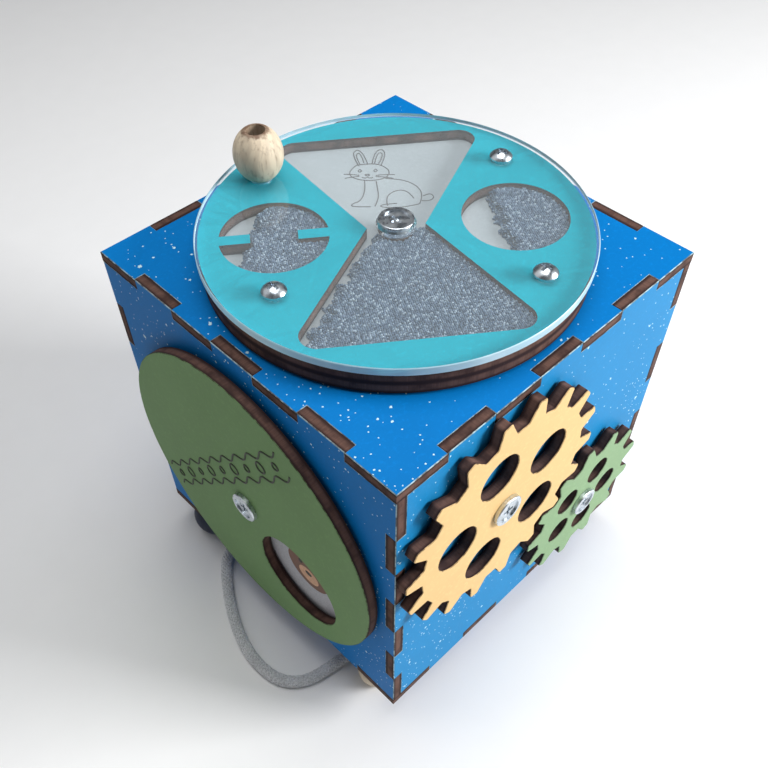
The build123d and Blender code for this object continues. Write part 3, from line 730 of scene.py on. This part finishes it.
class CUBE_OT_cord(bpy.types.Operator):
    """Braided pull cord, a loop lying beside the cube, with a stopper knot on each end."""

    bl_idname = "cube.cord"
    bl_label = "Cord"

    def execute(self, context):
        sizes = settings("cube_cord")
        material = cord_material()
        line = self.route_points()
        strands = []
        for turn_way in (1, -1):
            for index in range(STRANDS):
                strands.append(self.strand(line, turn_way, index, sizes))
        core_radius = sizes.diameter * 0.40
        braid = lines_to_mesh("strands", strands, sizes.diameter * 0.19, 1, order=2)
        core = lines_to_mesh("core", [line[::2] + [line[-1]]], core_radius * 2, 3)
        cord = join([braid, core], "braided_cord")
        place(cord, "box", material, ["pull_cord"])
        knots = self.knots(sizes, material)
        return {"FINISHED"}

    def route_points(self):
        """Points read from the route's smooth line."""
        curve = bpy.data.curves.new("route", "CURVE")
        curve.dimensions = "3D"
        curve.resolution_u = 24
        spline = curve.splines.new("NURBS")
        spline.points.add(len(CORD_ROUTE) - 1)
        for target, point in zip(spline.points, CORD_ROUTE):
            target.co = (*(part * MM for part in point), 1)
        spline.order_u = 3
        spline.use_endpoint_u = True
        guide = bpy.data.objects.new("route", curve)
        mesh = bpy.data.meshes.new_from_object(guide)
        points = [vertex.co.copy() for vertex in mesh.vertices]
        bpy.data.objects.remove(guide)
        return points

    def strand(self, line, turn_way, index, sizes):
        """One strand's points: a helix round the line that dips under and over the others."""
        across = Vector((0, 0, 1)).cross(line[1] - line[0])
        if across.length < 1e-9:
            across = Vector((1, 0, 0))
        travelled = 0.0
        points = []
        for number, here in enumerate(line):
            ahead = line[min(number + 1, len(line) - 1)]
            behind = line[max(number - 1, 0)]
            along = (ahead - behind).normalized()
            across = (across - along * across.dot(along)).normalized()
            side = along.cross(across)
            if number:
                travelled += (here - behind).length
            phase = turn_way * math.tau * travelled / sizes.lay + math.tau * index / STRANDS
            crossing = math.tau * STRANDS * travelled / sizes.lay
            wave = math.cos(crossing + math.pi * index + (math.pi if turn_way < 0 else 0))
            radius = sizes.diameter * (0.400 + 0.02 * wave)
            points.append(here + radius * (math.cos(phase) * across + math.sin(phase) * side))
        return points

    def knots(self, sizes, material):
        """Overhand stopper knots on the inside of the bottom board."""
        lump = 3.0 * MM
        knot_floor = high("bottom_panel").z
        pieces = []
        for start in (CORD_ROUTE[0], CORD_ROUTE[-1]):
            x, y = start[0] * MM, start[1] * MM
            points = [Vector((x, y, HOLE_MOUTH * MM)), Vector((x, y, knot_floor + 1 * MM))]
            for step in range(KNOT_STEPS + 1):
                angle = math.tau * step / KNOT_STEPS
                spread = lump * (0.75 + 0.35 * math.cos(3 * angle))
                rise = knot_floor + 5.6 * MM + 2.4 * MM * math.sin(3 * angle)
                spot = (x + spread * math.cos(2 * angle), y + spread * math.sin(2 * angle), rise)
                points.append(Vector(spot))
            pieces.append(lines_to_mesh("knot", [points], sizes.diameter * 0.8, 3))
        knots = join(pieces, "stopper_knots")
        place(knots, "box", material, ["cord_knots"])
        return knots


# ---- boards -----------------------------------------------------------------------------
PANEL_AXES = {
    "top_panel": (0, 0, 1),
    "bottom_panel": (0, 0, -1),
    "gear_panel": (0, -1, 0),
    "rear_left_panel": (0, 1, 0),
    "picture_panel": (-1, 0, 0),
    "rear_right_panel": (1, 0, 0),
}


def outer_face(node, axis):
    """Distance of a node's outer face from the origin, along its axis."""
    direction = Vector(axis)
    return max(low(node).dot(direction), high(node).dot(direction))


class CUBE_OT_boards(bpy.types.Operator):
    """Paint and laser-cut edges of the box, the gears and the picture disc."""

    bl_idname = "cube.boards"
    bl_label = "Boards"

    def execute(self, context):
        paints = settings("cube_paints")
        build_laser_edge_group()
        build_spatter_group()
        build_painted_board_group()
        for node, axis in PANEL_AXES.items():
            # The gear side takes the box paint retuned to its light (painted light).
            paint = paints.box_gear_side_light if node == "gear_panel" else paints.box
            material = board_material(f"Blue {node}", paint, axis, outer_face(node, axis), 1.0)
            dress(NODES[node], material)
        plain = (
            ("large_gear", paints.large_gear, (0, -1, 0)),
            ("small_gear", paints.small_gear, (0, -1, 0)),
            ("picture_disc", paints.disc, (-1, 0, 0)),
            ("window_ring", paints.ring, (0, 0, 1)),
        )
        for node, paint, axis in plain:
            # With no spatter, the lighter copy of each paint only lightens the chamfers: a painted highlight
            # along the edges.
            lighter = tuple(min(1.0, part * 1.3 + 0.03) for part in paint)
            face = outer_face(node, axis)
            dress(NODES[node], board_material(f"Paint {node}", paint, axis, face, 0.0, speck=lighter))
        base_face = outer_face("wheel_base", (0, 0, 1))
        white = (0.46, 0.47, 0.485)
        dress(NODES["wheel_base"], board_material("White base", white, (0, 0, 1), base_face, speck=white))
        bare = (0.070, 0.042, 0.036)
        spacer_face = outer_face("hub_spacer", (0, 0, 1))
        dress(NODES["hub_spacer"], board_material("Bare spacer", bare, (0, 0, 1), spacer_face, speck=bare))
        dress(NODES["picture_plate"], paper_material())
        return {"FINISHED"}


# ---- cover ------------------------------------------------------------------------------
EDGE_BREAK = 0.25 * MM


class CUBE_OT_cover(bpy.types.Operator):
    """Clear cover: polished faces, and a frosted sawn edge with its corners just broken."""

    bl_idname = "cube.cover"
    bl_label = "Clear cover"

    def execute(self, context):
        deselect()
        original = NODES["clear_cover"]
        cover = original.copy()
        cover.data = original.data.copy()
        cover.name = "cover_sheet"
        cover.data.name = "cover_sheet"
        cover.parent = None
        context.collection.objects.link(cover)
        for key in list(cover.keys()):
            del cover[key]
        cover.select_set(True)
        context.view_layer.objects.active = cover
        rim = (high("clear_cover").x - low("clear_cover").x) / 2
        bpy.ops.object.mode_set(mode="EDIT")
        bpy.ops.mesh.select_all(action="SELECT")
        bpy.ops.mesh.remove_doubles(threshold=1e-6)
        bpy.ops.mesh.customdata_custom_splitnormals_clear()
        bpy.ops.mesh.dissolve_limited(angle_limit=math.radians(0.5))
        form = bmesh.from_edit_mesh(cover.data)
        bpy.ops.mesh.select_mode(type="EDGE")
        bpy.ops.mesh.select_all(action="DESELECT")
        for edge in form.edges:
            ends = [(vertex.co - WHEEL_HUB).xy.length for vertex in edge.verts]
            level_edge = abs(edge.verts[0].co.z - edge.verts[1].co.z) < 1e-6
            edge.select = level_edge and min(ends) > rim - 0.1 * MM and edge.is_manifold
        bmesh.update_edit_mesh(cover.data)
        bpy.ops.mesh.bevel(offset=EDGE_BREAK, segments=1)
        end_edit(cover, 30)
        place(cover, "wheel", acrylic_material(), ["clear_cover"])
        cover.data.materials.append(sawn_edge_material())
        for face in cover.data.polygons:
            outside = (face.center - WHEEL_HUB).xy.length > rim - 0.8 * MM
            face.material_index = 1 if outside and abs(face.normal.z) < 0.95 else 0
        return {"FINISHED"}


# ---- metal ------------------------------------------------------------------------------
METAL_NODES = (
    "clamp_screws",
    "disc_bolt",
    "disc_washer",
    "foot_nuts",
    "foot_screws",
    "gear_washers",
    "handle_screw",
    "handle_washer",
    "inner_washers",
    "large_gear_bolt",
    "lock_nuts",
    "small_gear_bolt",
    "wheel_bolt",
    "wheel_top_washer",
    "wheel_under_washer",
)


class CUBE_OT_metal(bpy.types.Operator):
    """Zinc plate on every bolt, screw, nut and washer."""

    bl_idname = "cube.metal"
    bl_label = "Metal"

    def execute(self, context):
        material = zinc_material()
        for node in METAL_NODES:
            dress(NODES[node], material)
        return {"FINISHED"}


# ---- turned beads -----------------------------------------------------------------------
def turned_bead(name, centre, height, radius, end_radius, mouth_radius, mouth_depth, mouth_up):
    """Barrel bead: a ball cut flat at both ends, opened by a mouth and a through bore."""
    bore = mouth_radius * 0.55
    deselect()
    bpy.ops.mesh.primitive_uv_sphere_add(segments=64, ring_count=40, radius=radius, location=centre)
    piece = start_edit(name)
    flat = math.sqrt(1 - (end_radius / radius) ** 2)
    stretch = height / 2 / (radius * flat)
    bpy.ops.mesh.select_all(action="SELECT")
    bpy.ops.transform.resize(value=(1, 1, stretch), center_override=centre)
    for way in (1, -1):
        bpy.ops.mesh.select_all(action="SELECT")
        bpy.ops.mesh.bisect(
            plane_co=(centre[0], centre[1], centre[2] + way * height / 2),
            plane_no=(0, 0, way),
            use_fill=True,
            clear_outer=True,
            threshold=1e-6,
        )
    bpy.ops.mesh.select_all(action="SELECT")
    bpy.ops.mesh.remove_doubles(threshold=1e-7)
    for way in (1, -1):
        level = centre[2] + way * height / 2
        pick_faces(piece, lambda spot, normal: abs(spot.z - level) < 1e-6)
        wide = mouth_radius if (way > 0) == mouth_up else bore
        bpy.ops.mesh.inset(thickness=end_radius - wide)
        if (way > 0) == mouth_up:
            bpy.ops.mesh.extrude_region_move(
                TRANSFORM_OT_translate={"value": (0, 0, -way * mouth_depth)}
            )
            bpy.ops.mesh.inset(thickness=mouth_radius - bore)
    mouth_level = centre[2] + (height / 2 - mouth_depth) * (1 if mouth_up else -1)
    bore_level = centre[2] - height / 2 * (1 if mouth_up else -1)
    pick_faces(
        piece,
        lambda spot, normal: (abs(spot.z - mouth_level) < 1e-6 or abs(spot.z - bore_level) < 1e-6)
        and (spot - Vector((centre[0], centre[1], spot.z))).length < bore * 0.3,
    )
    bpy.ops.mesh.bridge_edge_loops()
    return end_edit(piece, 40)


class CUBE_OT_beads(bpy.types.Operator):
    """The turned wooden handle bead and the four bead feet."""

    bl_idname = "cube.beads"
    bl_label = "Turned beads"

    def execute(self, context):
        wood = tuple(settings("cube_paints").wood)
        brown = (0.20, 0.12, 0.075)
        spots = [middle("handle_bead")]
        self.bead("turned_handle", "handle_bead", "handle", "turned_wood", wood, brown, True, spots)
        for name, node, slot, light, dark in (
            ("wooden_feet", "natural_feet", "turned_wood", wood, brown),
            ("navy_feet", "painted_feet", "navy_wood", (0.012, 0.022, 0.060), (0.035, 0.028, 0.034)),
        ):
            centre = middle(node)
            reach = (high(node).x - low(node).x) / 2 - (high(node).y - low(node).y) / 2
            spots = [centre - Vector((reach, 0, 0)), centre + Vector((reach, 0, 0))]
            self.bead(name, node, "box", slot, light, dark, False, spots)
        return {"FINISHED"}

    def bead(self, name, node, body, slot, light, dark, mouth_up, spots):
        """Beads of one kind, one at each spot, replacing a frame node."""
        height = high(node).z - low(node).z
        radius = (high(node).y - low(node).y) / 2
        mouth = 3.3 * MM
        end = mouth + 0.6 * MM
        depth = 6 * MM if mouth_up else 4 * MM
        centre = middle(node)
        pieces = [
            turned_bead(f"{name}_{number}", tuple(spot), height, radius, end, mouth, depth, mouth_up)
            for number, spot in enumerate(spots)
        ]
        whole = join(pieces, name)
        material = turned_wood_material(
            name.replace("_", " "), light, dark, centre, height / 2, mouth if mouth_up else 0.0
        )
        place(whole, body, material, [node])


# ---- glass beads in the wheel -----------------------------------------------------------
def turn(point, angle):
    """A flat point turned about the hub."""
    x, y = point
    return (x * math.cos(angle) - y * math.sin(angle), x * math.sin(angle) + y * math.cos(angle))


PACKING = 0.93  # spacing of the glass beads in bead widths
FAN_CORNER = 3.2 * MM


class CUBE_OT_grains(bpy.types.Operator):
    """Loose glass beads in three of the wheel's windows, run down to one side."""

    bl_idname = "cube.grains"
    bl_label = "Glass beads"

    def execute(self, context):
        material = glass_grain_material()
        sizes = settings("cube_wheel")
        margin = sizes.grain / 2
        hub_keep = sizes.hub_radius + margin
        fan_edge = (sizes.fan_half - sizes.neck_half) / sizes.fan_length

        def in_fan(x, y):
            out, aside = turn((x, y), -FAN_TURN)
            slant = math.sqrt(1 + fan_edge**2)
            wall = sizes.neck_half + out * fan_edge - margin * slant
            off_corner = sizes.fan_length - out + (wall - abs(aside)) > FAN_CORNER
            between = 0 < out < sizes.fan_length - margin and abs(aside) < wall
            return between and off_corner and math.hypot(out, aside) > hub_keep

        def in_round(side, tabs):
            def test(x, y):
                out, aside = turn((x, y), -WINDOW_TURN)
                out -= side * sizes.round_offset
                by_tab = abs(aside) < sizes.tab_half + margin and abs(out) > sizes.tab_reach - margin
                return math.hypot(out, aside) < sizes.round_radius - margin and not (tabs and by_tab)

            return test

        fan_middle = turn((sizes.fan_length * 0.6, 0), FAN_TURN)
        round_middle = turn((sizes.round_offset, 0), WINDOW_TURN)
        tabbed_middle = turn((-sizes.round_offset, 0), WINDOW_TURN)
        # piece, frame node, window, its middle, the heap's slope in degrees, its reach, seed
        beds = (
            ("fan_grains", "sector_beads", in_fan, fan_middle, 113.5, 21.7 * MM, 11),
            ("round_grains", "round_window_beads", in_round(1, False), round_middle, 146.0, 5.4 * MM, 12),
            ("tabbed_grains", "tabbed_window_beads", in_round(-1, True), tabbed_middle, 126.0, 9.5 * MM, 13),
        )
        for name, node, test, centre, slope, edge, seed in beds:
            grains = self.bed(name, test, centre, math.radians(slope), edge, seed)
            place(grains, "wheel", material, [node])
        return {"FINISHED"}

    def bed(self, name, test, centre, slope, edge, seed):
        """One window's beads: two close layers whose top falls away towards a ragged edge."""
        noise.seed_set(seed)  # or noise_vector would start from the clock
        sizes = settings("cube_wheel")
        pitch = sizes.grain * PACKING
        row = pitch * math.sqrt(0.75)
        reach = int(60 * MM / row)
        spots = []
        for layer in (0, 1):
            for line in range(-reach, reach + 1):
                for step in range(-reach, reach + 1):
                    jitter = noise.noise_vector(Vector((line * 7.3, step * 5.1, seed + layer * 3.7)))
                    x = centre[0] + (step + 0.5 * (line % 2) + 0.5 * layer) * pitch + jitter.x * 0.45 * pitch
                    y = centre[1] + (line + 0.33 * layer) * row + jitter.y * 0.45 * pitch
                    if not test(x, y):
                        continue
                    out = (x - centre[0]) * math.cos(slope) + (y - centre[1]) * math.sin(slope)
                    ragged = 2.6 * MM * noise.noise(Vector((x * 210, y * 210, seed)))
                    ragged += 1.3 * MM * noise.noise(Vector((x * 620, y * 620, seed + 5)))
                    behind = edge + ragged - out
                    if behind < 0:
                        continue
                    swell = 0.35 * MM * noise.noise(Vector((x * 130, y * 130, seed + 9)))
                    depth = min(sizes.bed_depth - 0.4 * MM, 0.25 * MM + behind * 0.8) + swell
                    z = BED_FLOOR + max(sizes.grain / 2, depth - layer * pitch * 0.6) + jitter.z * 0.1 * MM
                    z = max(z, BED_FLOOR + sizes.grain * 0.5)
                    spots.append(Vector((WHEEL_HUB.x + x, WHEEL_HUB.y + y, z)))
        return self.copies(name, spots, sizes.grain / 2)

    def copies(self, name, spots, radius):
        """One small ball, modelled once and repeated at every spot in one mesh."""
        deselect()
        bpy.ops.mesh.primitive_ico_sphere_add(subdivisions=1, radius=radius)
        ball = bpy.context.object
        corners = [vertex.co.copy() for vertex in ball.data.vertices]
        faces = [tuple(face.vertices) for face in ball.data.polygons]
        bpy.data.objects.remove(ball)
        all_corners = []
        all_faces = []
        for number, spot in enumerate(spots):
            start = len(all_corners)
            spin = Matrix.Rotation(number * 2.4, 3, Vector((0.3, 0.5, 0.8)))
            all_corners.extend(spot + spin @ corner for corner in corners)
            all_faces.extend(tuple(start + index for index in face) for face in faces)
        mesh = bpy.data.meshes.new(name)
        mesh.from_pydata(all_corners, [], all_faces)
        mesh.shade_smooth()
        grains = bpy.data.objects.new(name, mesh)
        bpy.context.collection.objects.link(grains)
        return grains


# ---- drawings ---------------------------------------------------------------------------
# open lines of the drawing, about its own middle; a unit is DRAWING_SCALE
RABBIT = (
    # ears
    [(-7.2, 8.6), (-9.6, 14.5), (-7.9, 17.6), (-5.6, 14.0), (-4.6, 9.4)],
    [(-3.4, 9.5), (-2.9, 15.2), (-0.6, 17.9), (0.9, 14.6), (-0.7, 9.0)],
    # inside of the ears
    [(-7.0, 9.6), (-8.4, 13.8), (-7.6, 15.8), (-6.4, 13.4), (-5.8, 10.2)],
    [(-2.6, 10.0), (-2.1, 14.2), (-0.8, 16.0), (-0.1, 13.8), (-1.4, 9.9)],
    # whiskers
    [(-7.0, 3.9), (-9.6, 4.6), (-11.6, 4.4)],
    [(-7.0, 3.4), (-9.4, 3.2), (-11.2, 2.4)],
    [(-2.2, 3.9), (0.8, 4.6), (3.4, 4.3)],
    [(-2.2, 3.4), (0.8, 3.2), (3.0, 2.5)],
    # head
    [
        (-8.0, 9.0), (-10.6, 5.6), (-8.6, 2.2), (-4.0, 1.2), (0.8, 2.4),
        (2.2, 6.0), (-0.4, 9.2), (-4.2, 10.0), (-8.0, 9.0),
    ],
    # nose and mouth
    [(-5.4, 4.2), (-4.6, 3.4), (-3.8, 4.2), (-4.6, 4.6), (-5.4, 4.2)],
    [(-6.2, 2.9), (-5.2, 2.4), (-4.6, 3.2), (-4.0, 2.4), (-3.0, 2.9)],
    # back and tail
    [(0.6, 2.4), (5.0, 2.2), (9.6, -0.6), (11.6, -5.2), (10.4, -9.6)],
    [(11.4, -6.0), (13.4, -4.4), (14.8, -6.4), (13.2, -8.4), (11.0, -8.2)],
    # chest and front leg
    [(-5.4, 1.2), (-5.0, -3.6), (-6.4, -8.6), (-9.0, -9.8), (-8.6, -11.2), (-3.4, -11.0)],
    [(-2.0, 1.0), (-1.4, -3.4), (-1.2, -7.4), (-2.2, -10.8)],
    # haunch and hind foot
    [(1.4, -10.6), (0.6, -6.4), (3.8, -3.0), (7.4, -3.6), (8.8, -7.0)],
    [(10.4, -9.6), (6.0, -11.4), (-0.4, -11.4), (-0.8, -10.0), (4.0, -9.4)],
)
RABBIT_EYES = ((-6.9, 6.2), (-2.3, 6.4))
EYE_SIXTHS = (0, 1.05, 2.1, 3.14, 4.2, 5.25, 6.28)
DRAWING_MIDDLE = 2.5
DRAWING_OFFSET = 32.0 * MM
DRAWING_SCALE = 1.20 * MM
DRAWING_TILT = math.radians(-8)


class CUBE_OT_drawing(bpy.types.Operator):
    """Fine engraved line drawing of a rabbit on the wheel's white base."""

    bl_idname = "cube.drawing"
    bl_label = "Rabbit drawing"

    def execute(self, context):
        turn_angle = FAN_TURN + math.pi / 2 + DRAWING_TILT
        origin = turn((DRAWING_OFFSET, 0), FAN_TURN + math.pi)

        def on_base(point):
            flat = (point[0] * DRAWING_SCALE, (point[1] - DRAWING_MIDDLE) * DRAWING_SCALE)
            x, y = turn(flat, turn_angle)
            return Vector((WHEEL_HUB.x + origin[0] + x, WHEEL_HUB.y + origin[1] + y, BED_FLOOR))

        lines = [[on_base(point) for point in line] for line in RABBIT]
        for x, y in RABBIT_EYES:
            ring = [(x + 0.5 * math.cos(angle), y + 0.7 * math.sin(angle)) for angle in EYE_SIXTHS]
            lines.append([on_base(point) for point in ring])
        drawing = lines_to_mesh("rabbit_drawing", lines, 0.38 * MM, 1)
        place(drawing, "wheel", ink_material("Scorched line", (0.10, 0.085, 0.08)))
        return {"FINISHED"}


# ---- pictures behind the disc -----------------------------------------------------------
PICTURE_RADIUS = 32.5
PICTURE_START = math.radians(-36.0)


def petals(ink, count, reach, radius, sides):
    """Round patches spread evenly about a picture's middle."""
    angles = [number * math.tau / count for number in range(count)]
    return tuple(
        (ink, reach * math.cos(angle), reach * math.sin(angle), radius, radius, sides) for angle in angles
    )


class CUBE_OT_pictures(bpy.types.Operator):
    """Five simple printed pictures on the sheet behind the turning disc."""

    bl_idname = "cube.pictures"
    bl_label = "Pictures"

    def execute(self, context):
        inks = {
            "brown": ink_material("Brown ink", (0.17, 0.075, 0.045)),
            "tan": ink_material("Tan ink", (0.62, 0.36, 0.22)),
            "dark": ink_material("Dark ink", (0.015, 0.012, 0.012)),
            "yellow": ink_material("Yellow ink", (0.85, 0.55, 0.06)),
            "red": ink_material("Red ink", (0.62, 0.06, 0.04)),
            "green": ink_material("Green ink", (0.08, 0.36, 0.08)),
            "sea": ink_material("Sea ink", (0.05, 0.24, 0.50)),
        }
        # ink, middle across and up, half width, half height, number of sides
        prints = {
            "bear": (
                ("brown", -7, 8.5, 4.6, 4.6, 32), ("brown", 7, 8.5, 4.6, 4.6, 32),
                ("tan", -7, 8.5, 2.4, 2.4, 24), ("tan", 7, 8.5, 2.4, 2.4, 24),
                ("brown", 0, 0, 11.0, 10.4, 48), ("tan", 0, -3.6, 5.4, 4.4, 32),
                ("dark", -4.0, 2.4, 1.1, 1.3, 20), ("dark", 4.0, 2.4, 1.1, 1.3, 20),
                ("dark", 0, -2.2, 1.8, 1.2, 20),
            ),
            "sun": (
                *petals("yellow", 10, 11, 1.6, 16), ("yellow", 0, 0, 7.4, 7.4, 40),
                ("dark", -2.4, 1.4, 0.8, 0.9, 16), ("dark", 2.4, 1.4, 0.8, 0.9, 16),
            ),
            "flower": (
                *petals("red", 6, 6.4, 4.2, 28), ("yellow", 0, 0, 4.0, 4.0, 32),
                ("green", 0, -13.2, 1.0, 3.2, 20),
            ),
            "fish": (
                ("sea", 0, 0, 9.5, 5.6, 40), ("sea", 11.0, 0, 4.6, 4.6, 3),
                ("tan", -5.6, 1.4, 1.5, 1.5, 20), ("dark", -5.9, 1.4, 0.7, 0.7, 16),
            ),
            "apple": (
                ("red", -3.2, 0, 7.0, 7.6, 36), ("red", 3.2, 0, 7.0, 7.6, 36),
                ("brown", 0, 9.2, 0.7, 2.8, 16), ("green", 4.2, 10.2, 3.8, 1.7, 24),
            ),
        }
        by_ink = {}
        for place_number, shapes in enumerate(prints.values()):
            angle = PICTURE_START + place_number * math.tau / len(prints)
            for layer, (ink, x, y, wide, tall, sides) in enumerate(shapes):
                spot = (PICTURE_RADIUS * math.cos(angle) + x, PICTURE_RADIUS * math.sin(angle) + y)
                patch = self.patch(f"print_{place_number}_{layer}", spot, wide, tall, sides, layer)
                by_ink.setdefault(ink, []).append(patch)
        for ink, patches in by_ink.items():
            place(join(patches, f"print_{ink}"), "box", inks[ink])
        return {"FINISHED"}

    def patch(self, name, spot, wide, tall, sides, layer):
        """A thin rounded patch of print standing on the sheet; spot is seen from the left side."""
        sheet = middle("picture_plate")
        face_x = low("picture_plate").x
        height = (0.04 + 0.012 * layer) * MM
        place_point = (face_x - height / 2, sheet.y - spot[0] * MM, sheet.z + spot[1] * MM)
        deselect()
        bpy.ops.mesh.primitive_cylinder_add(
            vertices=sides, radius=MM, depth=height, location=place_point, rotation=(0, math.pi / 2, 0)
        )
        piece = start_edit(name)
        bpy.ops.mesh.select_all(action="SELECT")
        bpy.ops.transform.resize(value=(1, wide, tall), center_override=place_point)
        bpy.ops.mesh.bevel(offset=height * 0.3, segments=1)
        return end_edit(piece, 30)


# ---- engraving on the disc --------------------------------------------------------------
BAND_START, BAND_END = Vector((-50.0, -28.0)), Vector((27.0, 49.0))
BAND_HALF_WIDTH = 4.6
WAVE_HEIGHT = 1.3
WAVE_LENGTH = 12.0
WAVE_STEPS = 60
RING_COUNT = 9
RING_SIZES = (1.5, 2.3)
RING_STEPS = 12


class CUBE_OT_engraving(bpy.types.Operator):
    """Engraved band of waves and rings across the picture disc."""

    bl_idname = "cube.engraving"
    bl_label = "Disc engraving"

    def execute(self, context):
        hub = middle("disc_bolt")
        face_x = low("picture_disc").x
        along = (BAND_END - BAND_START).normalized()
        across = Vector((-along.y, along.x))
        length = (BAND_END - BAND_START).length
        lines = []
        for offset in (-BAND_HALF_WIDTH, BAND_HALF_WIDTH):
            points = []
            for step in range(WAVE_STEPS + 1):
                run = length * step / WAVE_STEPS
                wave = WAVE_HEIGHT * math.sin(math.tau * run / WAVE_LENGTH)
                points.append(BAND_START + along * run + across * (offset + wave))
            lines.append(points)
        for number in range(RING_COUNT):
            centre = BAND_START + along * (length * (number + 0.5) / RING_COUNT)
            angles = [math.tau * step / RING_STEPS for step in range(RING_STEPS + 1)]
            size = RING_SIZES[number % 2]
            lines.append([centre + Vector((math.cos(angle), math.sin(angle))) * size for angle in angles])
        drawn = [
            [Vector((face_x, hub.y - point.x * MM, hub.z + point.y * MM)) for point in line]
            for line in lines
        ]
        engraving = lines_to_mesh("disc_engraving", drawn, 0.80 * MM, 1)
        groove = ink_material("Scorched groove", (0.035, 0.045, 0.025))
        place(engraving, "picture_disc", groove)
        return {"FINISHED"}


# ---- panel, registration and running ----------------------------------------------------
OPERATORS = (
    CUBE_OT_stage,
    CUBE_OT_cord,
    CUBE_OT_boards,
    CUBE_OT_cover,
    CUBE_OT_metal,
    CUBE_OT_beads,
    CUBE_OT_grains,
    CUBE_OT_drawing,
    CUBE_OT_pictures,
    CUBE_OT_engraving,
)
GROUPS = {
    "cube_paints": CubePaints,
    "cube_wheel": WheelSizes,
    "cube_cord": CordSizes,
    "cube_studio": StudioSettings,
}


class CUBE_PT_panel(bpy.types.Panel):
    """Buttons for each group of pieces."""

    bl_label = "Activity cube"
    bl_idname = "CUBE_PT_panel"
    bl_space_type = "VIEW_3D"
    bl_region_type = "UI"
    bl_category = "Cube"

    def draw(self, context):
        for operator in OPERATORS:
            self.layout.operator(operator.bl_idname)


def register():
    """Add the settings, operators and panel to Blender."""
    for group in GROUPS.values():
        bpy.utils.register_class(group)
    for name, group in GROUPS.items():
        setattr(bpy.types.Scene, name, bpy.props.PointerProperty(type=group))
    for operator in OPERATORS:
        bpy.utils.register_class(operator)
    bpy.utils.register_class(CUBE_PT_panel)


def unregister():
    """Take them away again."""
    bpy.utils.unregister_class(CUBE_PT_panel)
    for operator in reversed(OPERATORS):
        bpy.utils.unregister_class(operator)
    for name in GROUPS:
        delattr(bpy.types.Scene, name)
    for group in GROUPS.values():
        bpy.utils.unregister_class(group)


def main():
    """Build every group of pieces in order."""
    register()
    for operator in OPERATORS:
        category, name = operator.bl_idname.split(".")
        getattr(getattr(bpy.ops, category), name)()


if __name__ == "__main__":
    main()
